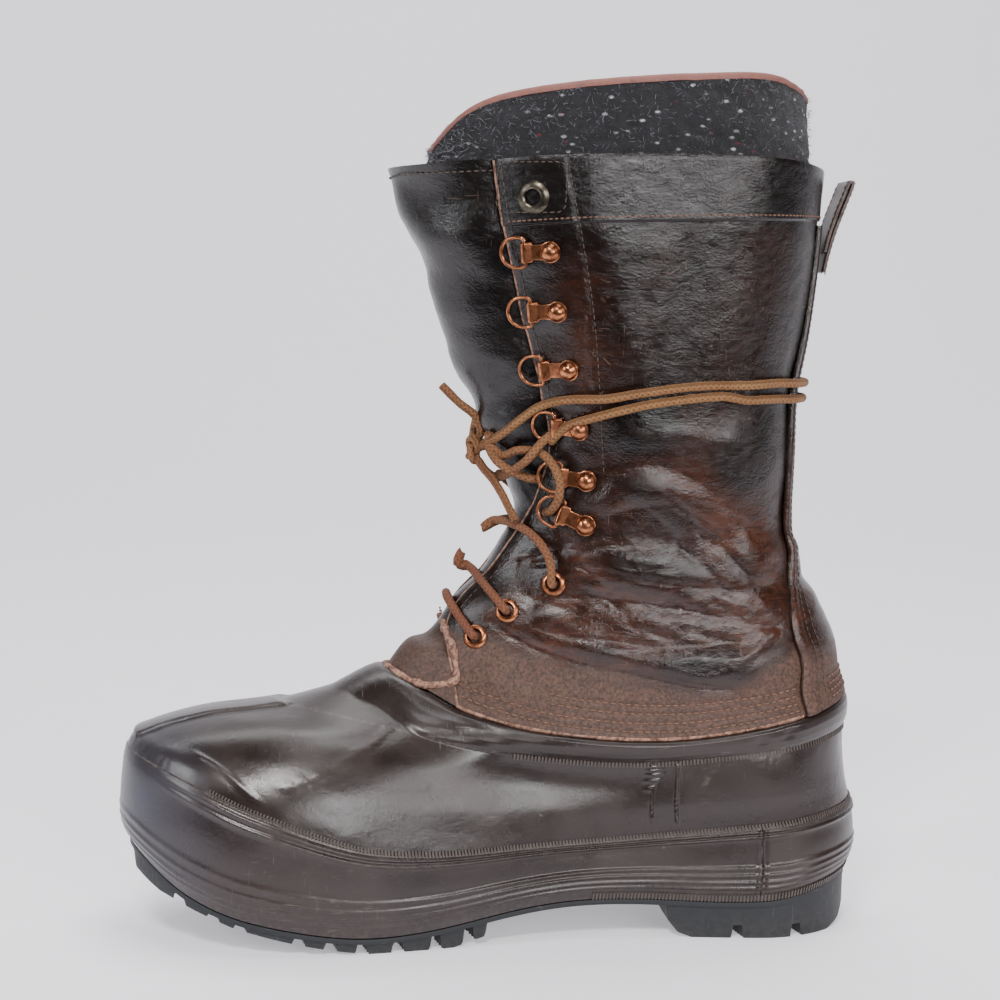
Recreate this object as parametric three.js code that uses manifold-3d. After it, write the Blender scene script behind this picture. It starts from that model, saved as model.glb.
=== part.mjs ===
// A right pac boot: a hollow rubber shell on a lugged outsole, a laced leather shaft stitched round
// the shell's flange, a bellows tongue and a loose felt liner that stands above the shaft.
// Millimetres, +Z up. The toe points to -X and the medial side faces -Y. The origin is on the
// floor, under the middle of the heel block.
import * as THREE from 'three';
import { mergeVertices } from 'three/addons/utils/BufferGeometryUtils.js';
import Module from 'manifold-3d';

const wasm = await Module();
wasm.setup();

// Driving dimensions
const GAP = 0.35;             // left between pieces that touch
const EASE = 0.8;             // left between curved pieces whose facets differ
const LEATHER = 2.2;          // thickness of the shaft and the tongue
const RUBBER = 3;             // wall of the rubber shell
const FELT = 6;               // wall of the liner
const CUFF = 1;               // the cuff stands this far proud of the shaft
const HOLE_EASE = 0.55;       // a hole in the leather is this much wider than its eyelet, all round
const FLANGE = 2;             // wall of the shell's flange inside the leather
const HEEL_X = 45;            // back of the rubber shell
const TOE_X = -275;           // front of the rubber shell, so the shell is 320 long
const TOE_SHIFT = -9;         // the toe tip lies this far to the medial side of the heel's middle
const SHELL_COLUMNS = 14;     // facets along each side of the rubber shell
const LINER_COLUMNS = 10;     // facets along each side of the liner
const QUARTER_COLUMNS = 20;   // facets round the shaft, from one front edge to the other
const FLOOR_LEVEL = 0.5;      // level of the form where the liner's floor meets its wall

const COLOURS = {
  rubber: { color: 0x3a302d, roughness: 0.45, metalness: 0 },
  sole: { color: 0x1d2226, roughness: 0.6, metalness: 0 },
  leather: { color: 0x33231d, roughness: 0.42, metalness: 0 },
  felt: { color: 0x2b2d35, roughness: 0.95, metalness: 0 },
  lace: { color: 0x8a5a30, roughness: 0.75, metalness: 0 },
  copper: { color: 0xb06a3c, roughness: 0.3, metalness: 1 },
  brass: { color: 0x5f5a48, roughness: 0.4, metalness: 1 },
};

// Half-widths of the footprint at shares of its length, from the heel to the toe.
const FOOTPRINT = [
  { share: 0.00, medial: 41, lateral: 41 },
  { share: 0.14, medial: 43, lateral: 43 },
  { share: 0.32, medial: 38, lateral: 46 },
  { share: 0.46, medial: 41, lateral: 53 },
  { share: 0.60, medial: 52, lateral: 60 },
  { share: 0.72, medial: 57, lateral: 61 },
  { share: 0.86, medial: 54, lateral: 57 },
  { share: 1.00, medial: 48, lateral: 50 },
];

const FOREFOOT = [0.2, 0.6];  // shares of the footprint over which slim comes in

// Shares of a section's length where its heights are given.
const HEIGHT_SHARES = [0, 0.14, 0.4, 0.66, 0.83, 0.92, 1];

// The sections of the boot's outer form, from the sole's edge to the top of the shaft.
// back, front: its ends along X. caps: lengths of its rounded ends, back and front.
// spread: added to the footprint's half-widths. slim: taken off them at the forefoot only.
// egg: 0 follows the footprint, 1 an oval whose half-widths are medial and lateral.
// edge: X of the quarters' front edges.
// heights: at HEIGHT_SHARES, from back to front.
const SECTIONS = {
  edge: { back: 42, front: -271, caps: [44, 66], spread: -2.5, egg: 0, medial: 44, lateral: 48,
    edge: 0, heights: [24, 16.4, 16.6, 6.8, 13.4, 23, 40] },
  foxing: { back: 46, front: -275, caps: [46, 68], spread: 1.5, egg: 0, medial: 44, lateral: 48,
    edge: 0, heights: [37, 30, 28, 20, 27, 37, 52] },
  band: { back: 43.5, front: -272, caps: [46, 70], spread: 0, egg: 0, medial: 44, lateral: 48,
    edge: 0, heights: [55, 49.7, 42.5, 43, 60, 71.5, 80] },
  wall: { back: 41, front: -262, caps: [46, 84], spread: 0, slim: 3, egg: 0.1, medial: 44, lateral: 48,
    edge: 0, heights: [67, 62, 56, 60, 76, 83, 87] },
  crown: { back: 40, front: -240, caps: [46, 92], spread: 0, slim: 8, egg: 0.25, medial: 42, lateral: 47,
    edge: 0, heights: [78, 73, 67, 73, 86, 90.5, 93] },
  bridge: { back: 39.5, front: -205, caps: [46, 104], spread: 0, slim: 12, egg: 0.6, medial: 41, lateral: 45,
    edge: -134, heights: [89, 83, 76.5, 82, 91.5, 95.5, 98] },
  collar: { back: 38, front: -163.5, caps: [47, 112], spread: 0, slim: 12, egg: 1, medial: 42, lateral: 45,
    edge: -134, heights: [101.4, 93.7, 86, 88.4, 95.5, 104, 112] },
  hem: { back: 34.4, front: -154, caps: [46, 112], spread: 0, egg: 1, medial: 41, lateral: 43.5,
    edge: -136.5, heights: [111, 105, 99, 102, 111, 117, 123] },
  vamp: { back: 32.5, front: -143, caps: [46, 100], spread: 0, egg: 1, medial: 40, lateral: 42.5,
    edge: -138, heights: [122, 117, 112, 114, 122, 128, 134] },
  instep: { back: 29.4, front: -135, caps: [46, 90], spread: 0, egg: 1, medial: 39.5, lateral: 41.5,
    edge: -132, heights: [132, 128, 124, 126, 134, 139.5, 145] },
  bend: { back: 24, front: -124, caps: [46, 80], spread: 0, egg: 1, medial: 39, lateral: 41,
    edge: -121, heights: [142, 139, 137, 139, 146, 151, 156] },
  fold: { back: 16.8, front: -117, caps: [44, 70], spread: 0, egg: 1, medial: 38.5, lateral: 40,
    edge: -113, heights: [153, 151, 150, 153, 160, 164, 168] },
  ankle: { back: 14.8, front: -111, caps: [44, 62], spread: 0, egg: 1, medial: 39, lateral: 40,
    edge: -106, heights: [165, 164, 164, 167, 173, 176.5, 180] },
  waist: { back: 11.7, front: -108, caps: [44, 60], spread: 0, egg: 1, medial: 40, lateral: 41,
    edge: -101.5, heights: [176, 176, 177, 180, 184.5, 187, 190] },
  shin: { back: 11.8, front: -106, caps: [46, 60], spread: 0, egg: 1, medial: 43, lateral: 43.5,
    edge: -96.5, heights: [200, 200, 202, 204, 207, 208.5, 210] },
  calf: { back: 11.8, front: -115, caps: [48, 60], spread: 0, egg: 1, medial: 46, lateral: 46,
    edge: -101.5, heights: [231, 231, 232, 233.5, 235, 235.5, 236] },
  swell: { back: 16.5, front: -125, caps: [50, 60], spread: 0, egg: 1, medial: 49, lateral: 49,
    edge: -110, heights: [260, 260, 260.5, 261, 261.5, 262, 262] },
  shoulder: { back: 19.4, front: -133, caps: [52, 60], spread: 0, egg: 1, medial: 52, lateral: 52,
    edge: -116.6, heights: [288, 288, 288.5, 289, 289.5, 290, 290] },
  cuff: { back: 20.5, front: -136, caps: [54, 60], spread: 0, egg: 1, medial: 53.5, lateral: 53.5,
    edge: -119, heights: [306, 305, 303.5, 302, 300.5, 299.5, 299] },
  top: { back: 22.2, front: -141, caps: [55, 60], spread: 0, egg: 1, medial: 55, lateral: 55,
    edge: -123.5, heights: [327, 329.5, 330, 329, 327.5, 326.5, 326] },
};
const FORM = Object.values(SECTIONS);
const LEVEL = Object.fromEntries(Object.keys(SECTIONS).map((name, i) => [name, i]));

// The rubber shell's outside: out is how far it stands proud of the form at a level.
const SHELL_ROWS = [
  { at: LEVEL.edge, out: 0 },
  { at: 0.4, out: 0 },
  { at: LEVEL.foxing, out: 0 },
  { at: 1.6, out: 0.2 },
  { at: 1.88, out: 1.2 },
  { at: LEVEL.band, out: -0.2 },
  { at: 2.5, out: -0.2 },
  { at: LEVEL.wall, out: 0 },
  { at: LEVEL.crown, out: 0 },
  { at: 4.96, out: 0 },
  { at: 5.06, out: 1.3 },
  { at: 5.5, out: 2.6 },
  { at: 5.9, out: 2.6 },
  { at: 5.98, out: 1.6 },
];
const FLANGE_ROWS = [LEVEL.collar, 6.55];
const STRIP_HALF_WIDTH = 6;   // of the raised strip along the top of the toe
const STRIP_RISE = 1.2;
const STRIP_SLOPE = 0.7;      // width of each side of the strip

// The tongue: between the quarters at the collar, behind them at the instep, before them above.
// at: level of its row. reach: how far its side edges run back past the quarters' front edges.
// front, z: its foremost point, where it stands before the form. inset: how far its sides lie
// inside the form.
const TONGUE = [
  { at: 6.07, reach: -2.5, inset: 0 },
  { at: 7, reach: -2.5, inset: 0 },
  { at: 7.5, reach: -2.5, inset: 3.6 },
  { at: 8, reach: 6, inset: 3.6 },
  { at: 9, reach: 13, inset: 3.1 },
  { at: 10, reach: 13, inset: 3.1 },
  { at: 11, reach: 13, inset: 3.1 },
  { at: 12, reach: 13, inset: 3.1 },
  { at: 13, reach: 13, inset: 3, front: -111, z: 191 },
  { at: 14, reach: 13, inset: 3, front: -121, z: 211 },
  { at: 15, reach: 13, inset: 3, front: -132, z: 237 },
  { at: 16, reach: 13, inset: 3, front: -142, z: 262 },
  { at: 17, reach: 13, inset: 3, front: -152.5, z: 290 },
  { at: 18, reach: 13, inset: 3, front: -157.5, z: 303 },
  { at: 19, reach: 13, inset: 3, front: -165, z: 324 },
];

// The liner follows the form, but reaches forward to the tongue above the ankle.
const LINER_FRONTS = {
  ankle: { front: -110, cap: 84 },
  waist: { front: -106, cap: 96 },
  shin: { front: -114, cap: 132 },
  calf: { front: -124, cap: 116 },
  swell: { front: -134, cap: 112 },
  shoulder: { front: -143, cap: 116 },
  cuff: { front: -148, cap: 118 },
  top: { front: -153, cap: 120 },
};
const LINER_TOP = [
  { back: 21.5, front: -153.5, caps: [50, 120], spread: 0, egg: 1, medial: 55, lateral: 55,
    edge: 0, heights: [342, 348, 347, 344.5, 341, 336, 329.5] },
  { back: 21, front: -153.5, caps: [48, 120], spread: 0, egg: 1, medial: 54.5, lateral: 54.5,
    edge: 0, heights: [357, 363, 362, 358, 353, 346, 332] },
];
// inset: how far the liner's outside lies inside the form at a level.
const LINER_ROWS = [
  { at: FLOOR_LEVEL, inset: 6.2 },
  { at: 1.2, inset: 5 },
  { at: LEVEL.band, inset: 5 },
  { at: LEVEL.wall, inset: 5 },
  { at: LEVEL.crown, inset: 5 },
  { at: LEVEL.bridge, inset: 5.4 },
  { at: LEVEL.collar, inset: 6.4 },
  { at: LEVEL.vamp, inset: 7.6 },
  { at: LEVEL.instep, inset: 7.6 },
  { at: LEVEL.bend, inset: 7.6 },
  { at: LEVEL.fold, inset: 7.6 },
  { at: LEVEL.ankle, inset: 7.6 },
  { at: LEVEL.waist, inset: 7.4 },
  { at: LEVEL.shin, inset: 7 },
  { at: LEVEL.calf, inset: 6.8 },
  { at: LEVEL.shoulder, inset: 6.6 },
  { at: LEVEL.top, inset: 6.6 },
  { at: 21, inset: 6.2 },
];

// Outsole: heights of what touches the floor, from the toe to the heel.
const PLATE = 2.4;            // thickness of the sole between its lugs
const TREAD = [
  { x: -268, z: 29 },
  { x: -257, z: 22 },
  { x: -227, z: 11 },
  { x: -206, z: 6 },
  { x: -189, z: 2.4 },
  { x: -174, z: 0 },
  { x: -135, z: 0 },
  { x: -121, z: 3.5 },
];
const HEEL_TREAD = [
  { x: -43, z: 8 },
  { x: -38, z: 2 },
  { x: -32, z: 0 },
  { x: 30, z: 0 },
  { x: 37, z: 3 },
  { x: 41, z: 9 },
];
const TREAD_NOTCHES = [-250, -236, -225, -201, -188, -175, -160, -144, -130];
const HEEL_NOTCHES = [-14, 12];
const NOTCH = { width: 4.4, depth: 20, slant: 0.18 };
const HEEL_NICK = 5.5;        // height of the heel's notches, which only nick its foot
// Grooves in the middle of the tread. y is from the sole's centre line.
const GROOVES = [
  { x: -243, y: 0, long: 4, wide: 52 },
  { x: -218, y: 0, long: 4, wide: 62 },
  { x: -196, y: 0, long: 4, wide: 62 },
  { x: -172, y: 0, long: 4, wide: 62 },
  { x: -150, y: 0, long: 4, wide: 62 },
  { x: -184, y: -31, long: 112, wide: 4 },
  { x: -184, y: 31, long: 112, wide: 4 },
  { x: 0, y: -16, long: 56, wide: 4 },
  { x: 0, y: 16, long: 56, wide: 4 },
];
const INSOLE = 3.5;           // its thickness

// Fittings on the medial side; the lateral side has the same.
const EYELETS = [
  { name: 'low', x: -126, z: 127.5 },
  { name: 'mid', x: -113, z: 139 },
  { name: 'high', x: -94, z: 151 },
];
const GROMMET = { x: -107.5, z: 311.5 };
const HOOKS = [
  { bar: { x: -109.4, z: 289.5 }, rivet: { x: -100, z: 289.6 }, loose: true },
  { bar: { x: -105.7, z: 265.3 }, rivet: { x: -96, z: 265.4 }, loose: true },
  { bar: { x: -99.9, z: 241.4 }, rivet: { x: -90.2, z: 241.5 }, loose: true },
  { bar: { x: -93.6, z: 217.5 }, rivet: { x: -84.7, z: 216.5 }, loose: false },
  { bar: { x: -90.6, z: 196 }, rivet: { x: -80.9, z: 195 }, loose: false },
  { bar: { x: -90.5, z: 180.3 }, rivet: { x: -81, z: 176.2 }, loose: false },
];
const EYELET = { bore: 2.8, barrel: 3.5, rim: 5.2, rise: 1.3 };
const TOP_GROMMET = { bore: 3.3, barrel: 4.1, rim: 6.8, rise: 1.5 };
const CLIP = { width: 8.5, plate: 1.6, tail: 4, eye: 1.9, bore: 1.15 };
const RIVET = { radius: 3.5, rise: 2.3 };
const RING = { wire: 0.8, half: 6.2, side: 4.2, bar: 4.6 };

// The lace is round; its bars cross the throat at these foremost points.
const LACE = 1.9;             // its radius
const BARS = [
  { name: 'low', x: -138.5, z: 144 },
  { name: 'mid', x: -130, z: 160 },
  { name: 'high', x: -123.5, z: 171 },
];
const CROSSINGS = [
  { from: 5, to: 4, x: -117, z: 187 },
  { from: 4, to: 3, x: -123.5, z: 203 },
];
const WRAPS = ['upper', 'lower'];
// Heights of the two turns round the shaft, at places along X.
const WRAP_ROUTE = [
  { x: 16, upper: 237.6, lower: 230.6 },
  { x: -4, upper: 237.4, lower: 230.6 },
  { x: -36, upper: 235, lower: 229.6 },
  { x: -64, upper: 232.4, lower: 227.6 },
  { x: -88, upper: 232, lower: 227.8 },
  { x: -104, upper: 232, lower: 227.8 },
  { x: -116, upper: 224.6, lower: 220 },
  { x: -130, upper: 217.6, lower: 212.8 },
];
const KNOT = { x: -128.6, y: -3, z: 206.5, radius: 4.6 };

// Free stretches of the lace, from the knot or the ring where they start: their route by hand.
const LACE_ENDS = [
  { name: 'lace_end_upper', points: [[-130.5, -3, 212], [-131.5, -5, 218], [-134, -8, 224],
    [-139, -11, 230], [-144, -13, 236]] },
  { name: 'lace_end_lower', points: [[-130, -5, 201], [-128, -9, 195], [-124.5, -13, 190],
    [-120.5, -17, 186.5], [-117.5, -21, 183.5]] },
];

// Pull loop: a folded strap behind the shaft, drawn from the side as X and Z.
const PULL_LOOP = {
  width: 19,
  outline: [[22.2, 283], [25, 282.6], [28.4, 296], [34, 310], [37.4, 320.6], [35.6, 324],
    [32.6, 322.4], [27, 310], [23.8, 297]],
  slit: [[25.6, 297], [30.6, 311], [34, 319.6], [31.8, 311], [27.4, 299]],
};
const BACKSTAY = { rise: 1.4, columns: 6 };
// Half-widths of the stay up the back of the shaft.
const BACKSTAY_ROWS = [
  { at: 6.04, half: 36 },
  { at: 7, half: 35 },
  { at: 8, half: 33 },
  { at: 9, half: 33 },
  { at: 10, half: 30 },
  { at: 11, half: 23 },
  { at: 12, half: 20 },
  { at: 13, half: 19.5 },
  { at: 14, half: 20 },
  { at: 15, half: 20 },
  { at: 16, half: 19 },
  { at: 17, half: 18 },
  { at: 17.9, half: 18 },
];

const clamp = THREE.MathUtils.clamp;
const mix = THREE.MathUtils.lerp;

// A smooth value at x through the points (xs, ys), with xs rising.
function curve(xs, ys, x) {
  const last = xs.length - 1;
  let i = 0;
  while (i < last - 1 && x > xs[i + 1]) i += 1;
  const slope = (k) => {
    const low = Math.max(k - 1, 0);
    const high = Math.min(k + 1, last);
    return (ys[high] - ys[low]) / (xs[high] - xs[low]);
  };
  const span = xs[i + 1] - xs[i];
  const t = clamp((x - xs[i]) / span, 0, 1);
  const bend = t * (1 - t) * span * ((1 - t) * slope(i) - t * slope(i + 1));
  return mix(ys[i], ys[i + 1], t * t * (3 - 2 * t)) + bend;
}

// The section of a form at a level, blended smoothly from the four around it.
function sectionAt(sections, level) {
  const last = sections.length - 1;
  const i = clamp(Math.floor(level), 0, last - 1);
  const t = level - i;
  const near = [i - 1, i, i + 1, i + 2].map((k) => sections[clamp(k, 0, last)]);
  const weights = [
    (-t * t * t + 2 * t * t - t) / 2,
    (3 * t * t * t - 5 * t * t + 2) / 2,
    (-3 * t * t * t + 4 * t * t + t) / 2,
    (t * t * t - t * t) / 2,
  ];
  const blend = (get) => near.reduce((sum, section, k) => sum + weights[k] * get(section), 0);
  return {
    back: blend((s) => s.back),
    front: blend((s) => s.front),
    caps: [blend((s) => s.caps[0]), blend((s) => s.caps[1])],
    spread: blend((s) => s.spread),
    slim: blend((s) => s.slim ?? 0),
    egg: blend((s) => s.egg),
    medial: blend((s) => s.medial),
    lateral: blend((s) => s.lateral),
    edge: blend((s) => s.edge),
    heights: HEIGHT_SHARES.map((_, k) => blend((s) => s.heights[k])),
  };
}

const roundEnd = (e) => Math.sqrt(Math.max(0, 1 - (1 - clamp(e, 0, 1)) ** 2));
const footShare = (x) => clamp((HEEL_X - x) / (HEEL_X - TOE_X), 0, 1);
const centreLine = (x) => TOE_SHIFT * footShare(x) ** 2;
const shares = FOOTPRINT.map((row) => row.share);

function halfWidth(section, x, side) {
  const share = footShare(x);
  const forefoot = THREE.MathUtils.smoothstep(share, FOREFOOT[0], FOREFOOT[1]);
  const foot = curve(shares, FOOTPRINT.map((row) => row[side]), share) + section.spread;
  const width = mix(foot - section.slim * forefoot, section[side], section.egg);
  const ends = roundEnd((section.back - x) / section.caps[0]);
  return width * ends * roundEnd((x - section.front) / section.caps[1]);
}

function heightAt(section, x) {
  const share = (section.back - x) / (section.back - section.front);
  return curve(HEIGHT_SHARES, section.heights, clamp(share, 0, 1));
}

// A point of a form: angle 0 is its back, 90 degrees its medial side and 180 its front.
function pointOn(sections, level, angle) {
  const s = sectionAt(sections, level);
  const x = (s.back + s.front) / 2 + ((s.back - s.front) / 2) * Math.cos(angle);
  const side = Math.sin(angle) >= 0 ? 'medial' : 'lateral';
  const y = halfWidth(s, x, side) * (side === 'medial' ? -1 : 1);
  return new THREE.Vector3(x, centreLine(x) + y, heightAt(s, x));
}

function normalOn(sections, level, angle) {
  const step = 0.02;
  const top = sections.length - 1;
  const up = pointOn(sections, Math.min(level + step, top), angle)
    .sub(pointOn(sections, Math.max(level - step, 0), angle));
  const round = pointOn(sections, level, angle + step).sub(pointOn(sections, level, angle - step));
  return up.cross(round).normalize();
}

// A point that stands proud of a form, or inside it where out is negative.
function offsetOn(sections, level, angle, out) {
  return normalOn(sections, level, angle).multiplyScalar(out).add(pointOn(sections, level, angle));
}

// The angle, on the medial side, of the point of a section at x.
function angleAt(sections, level, x) {
  const s = sectionAt(sections, level);
  return Math.acos(clamp((2 * x - s.back - s.front) / (s.back - s.front), -1, 1));
}

// The root of a rising function between low and high.
function solve(rising, low, high) {
  let [a, b] = [low, high];
  for (let k = 0; k < 40; k += 1) {
    const middle = (a + b) / 2;
    if (rising(middle) < 0) a = middle;
    else b = middle;
  }
  return (a + b) / 2;
}

// The level of the point at an angle of the form that lies at height z.
const levelAt = (angle, z) => solve((v) => pointOn(FORM, v, angle).z - z, LEVEL.collar, LEVEL.top);

// Closed surfaces
// A solid between an outer and an inner grid of points, rows of columns. Closed grids run round;
// open ones get side walls. With a floor, the first rows are bridged across instead of walled.
function solidBetween(outer, inner, { closed, floor = false }) {
  const rows = outer.length;
  const columns = outer[0].length;
  const triangles = [];
  const quad = (a, b, c, d) => triangles.push(a, b, c, a, c, d);
  const spans = closed ? columns : columns - 1;
  const next = (c) => (c + 1) % columns;
  for (let r = 0; r < rows - 1; r += 1) {
    for (let c = 0; c < spans; c += 1) {
      quad(outer[r][c], outer[r][next(c)], outer[r + 1][next(c)], outer[r + 1][c]);
      quad(inner[r][c], inner[r + 1][c], inner[r + 1][next(c)], inner[r][next(c)]);
    }
  }
  const top = rows - 1;
  for (let c = 0; c < spans; c += 1) {
    quad(outer[top][c], outer[top][next(c)], inner[top][next(c)], inner[top][c]);
    if (!floor) quad(outer[0][c], inner[0][c], inner[0][next(c)], outer[0][next(c)]);
  }
  if (!closed) {
    const last = columns - 1;
    for (let r = 0; r < top; r += 1) {
      quad(outer[r][0], outer[r + 1][0], inner[r + 1][0], inner[r][0]);
      quad(outer[r][last], inner[r][last], inner[r + 1][last], outer[r + 1][last]);
    }
  }
  if (floor) {
    const half = columns / 2;
    for (let c = 0; c < half; c += 1) {
      const [a, b] = [(columns - c) % columns, columns - c - 1];
      quad(outer[0][c], outer[0][a], outer[0][b], outer[0][c + 1]);
      quad(inner[0][c], inner[0][c + 1], inner[0][b], inner[0][a]);
    }
  }
  return geometryOf(triangles);
}

// A geometry from corner points, three to a triangle, turned so that its faces point out.
function geometryOf(corners) {
  let volume = 0;
  for (let i = 0; i < corners.length; i += 3) {
    volume += corners[i].dot(corners[i + 1].clone().cross(corners[i + 2]));
  }
  const ordered = [];
  for (let i = 0; i < corners.length; i += 3) {
    const [a, b, c] = [corners[i], corners[i + 1], corners[i + 2]];
    const flat = b.clone().sub(a).cross(c.clone().sub(a)).length() < 1e-7;
    if (!flat) ordered.push(...(volume > 0 ? [a, b, c] : [a, c, b]));
  }
  return new THREE.BufferGeometry().setFromPoints(ordered);
}

// Joins and cuts
function toSolid(geometry) {
  const bare = geometry.index ? geometry.toNonIndexed() : geometry.clone();
  bare.deleteAttribute('normal');
  bare.deleteAttribute('uv');
  const merged = mergeVertices(bare, 1e-4);
  return new wasm.Manifold(new wasm.Mesh({
    numProp: 3,
    vertProperties: merged.attributes.position.array,
    triVerts: new Uint32Array(merged.index.array),
  }));
}

function toGeometry(solid) {
  const mesh = solid.getMesh();
  const points = new Float32Array(mesh.numVert * 3);
  for (let i = 0; i < mesh.numVert; i += 1) {
    points.set(mesh.vertProperties.subarray(i * mesh.numProp, i * mesh.numProp + 3), i * 3);
  }
  return new THREE.BufferGeometry()
    .setAttribute('position', new THREE.BufferAttribute(points, 3))
    .setIndex(new THREE.BufferAttribute(mesh.triVerts, 1));
}

const joined = (geometries) => toGeometry(geometries.map(toSolid).reduce((a, b) => a.add(b)));
const without = (geometry, cutters) => toGeometry(
  cutters.map(toSolid).reduce((body, cutter) => body.subtract(cutter), toSolid(geometry)),
);

const boot = new THREE.Group();

function addPiece(name, geometry, finish, frame) {
  const mesh = new THREE.Mesh(geometry, new THREE.MeshStandardMaterial(COLOURS[finish]));
  mesh.name = name;
  if (frame) {
    mesh.position.copy(frame.origin);
    mesh.quaternion.setFromRotationMatrix(frame.turn);
  }
  boot.add(mesh);
}

// The rubber shell
// The angle, measured back from the front, where the form is this far from its centre line.
function frontAngle(level, width) {
  const away = (a) => {
    const p = pointOn(FORM, level, Math.PI - a);
    return Math.abs(p.y - centreLine(p.x)) - width;
  };
  return solve(away, 0, 1.2);
}

// The angles of a shell row: even ones, with the four nearest the front moved to the toe strip.
function shellAngles(level) {
  const foot = frontAngle(level, STRIP_HALF_WIDTH + STRIP_SLOPE);
  const crest = frontAngle(level, STRIP_HALF_WIDTH);
  const plain = (c) => Math.PI + (foot + ((Math.PI - foot) * (c - 2)) / (SHELL_COLUMNS - 2));
  const half = [0, crest, foot].map((a) => Math.PI + a);
  for (let c = 3; c < SHELL_COLUMNS; c += 1) half.push(plain(c));
  const other = half.slice(1).map((a) => 2 * Math.PI - a).reverse();
  return [0, ...other, ...half];
}

// The shell's lower edge runs straight between these stations, and so does the sole under it.
const soleStations = shellAngles(LEVEL.edge)
  .slice(0, SHELL_COLUMNS + 1)
  .map((angle) => pointOn(FORM, LEVEL.edge, angle).x)
  .reverse();

function soleLine(x) {
  const edge = sectionAt(FORM, LEVEL.edge);
  let i = 0;
  while (i < soleStations.length - 2 && x > soleStations[i + 1]) i += 1;
  const [a, b] = [soleStations[i], soleStations[i + 1]];
  return mix(heightAt(edge, a), heightAt(edge, b), (x - a) / (b - a));
}

function makeShell() {
  const row = ({ at, out }, wall) => {
    const angles = shellAngles(at);
    return angles.map((angle, c) => {
      const fromFront = Math.abs(c - SHELL_COLUMNS);
      const strip = wall === 0 && fromFront < 2 && at > LEVEL.band && at < 5 ? STRIP_RISE : 0;
      const point = offsetOn(FORM, at, angle, out + strip - wall);
      if (at === LEVEL.edge) point.z = soleLine(point.x);
      return point;
    });
  };
  const flange = -(LEATHER + EASE);
  const outer = [
    ...SHELL_ROWS.map((r) => row(r, 0)),
    ...FLANGE_ROWS.map((at) => row({ at, out: flange }, 0)),
  ];
  const inner = [
    ...SHELL_ROWS.map((r) => row({ at: r.at, out: Math.min(r.out, 0) }, RUBBER)),
    ...FLANGE_ROWS.map((at) => row({ at, out: flange }, FLANGE)),
  ];
  addPiece('upper_rubber_shell', solidBetween(outer, inner, { closed: true }), 'rubber');
}

// The outsole and the insole
// A slab that follows the sole's edge, between two heights given at each x.
function slab(stations, inset, low, high) {
  const edge = sectionAt(FORM, LEVEL.edge);
  const section = { ...edge, back: edge.back - inset, front: edge.front + inset,
    spread: edge.spread - inset };
  const row = (height) => stations.flatMap((x) => {
    const middle = centreLine(x);
    const [m, l] = ['medial', 'lateral'].map((side) => Math.max(halfWidth(section, x, side), 0.5));
    return [[-m, x], [0, x], [l, x]].map(([y, px]) => new THREE.Vector3(px, middle + y, height(px)));
  });
  const [top, bottom] = [row(high), row(low)];
  const triangles = [];
  const quad = (a, b, c, d) => triangles.push(a, b, c, a, c, d);
  for (let i = 0; i < stations.length - 1; i += 1) {
    const k = 3 * i;
    for (const j of [k, k + 1]) {
      quad(top[j], top[j + 1], top[j + 4], top[j + 3]);
      quad(bottom[j], bottom[j + 3], bottom[j + 4], bottom[j + 1]);
    }
    quad(top[k], top[k + 3], bottom[k + 3], bottom[k]);
    quad(top[k + 2], bottom[k + 2], bottom[k + 5], top[k + 5]);
  }
  const end = 3 * (stations.length - 1);
  for (const j of [0, 1]) {
    quad(top[j], bottom[j], bottom[j + 1], top[j + 1]);
    quad(top[end + j], top[end + j + 1], bottom[end + j + 1], bottom[end + j]);
  }
  return geometryOf(triangles);
}

const soleTop = (x) => soleLine(x) - GAP;

// Stations along a slab, closer together at its round ends.
function stationsBetween(from, to, count) {
  const [middle, half] = [(from + to) / 2, (to - from) / 2];
  return Array.from({ length: count + 1 }, (_, i) => middle - half * Math.cos((Math.PI * i) / count));
}

function treadBlock(profile) {
  const xs = profile.map((row) => row.x);
  const zs = profile.map((row) => row.z);
  const stations = [...new Set([...xs, ...stationsBetween(xs[0], xs[xs.length - 1], 10)])]
    .sort((a, b) => a - b)
    .filter((x, i, all) => i === 0 || x - all[i - 1] > 1);
  const low = (x) => {
    let i = 0;
    while (i < xs.length - 2 && x > xs[i + 1]) i += 1;
    return mix(zs[i], zs[i + 1], clamp((x - xs[i]) / (xs[i + 1] - xs[i]), 0, 1));
  };
  return slab(stations, 1.2, low, (x) => soleTop(x) - PLATE + 0.6);
}

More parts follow.
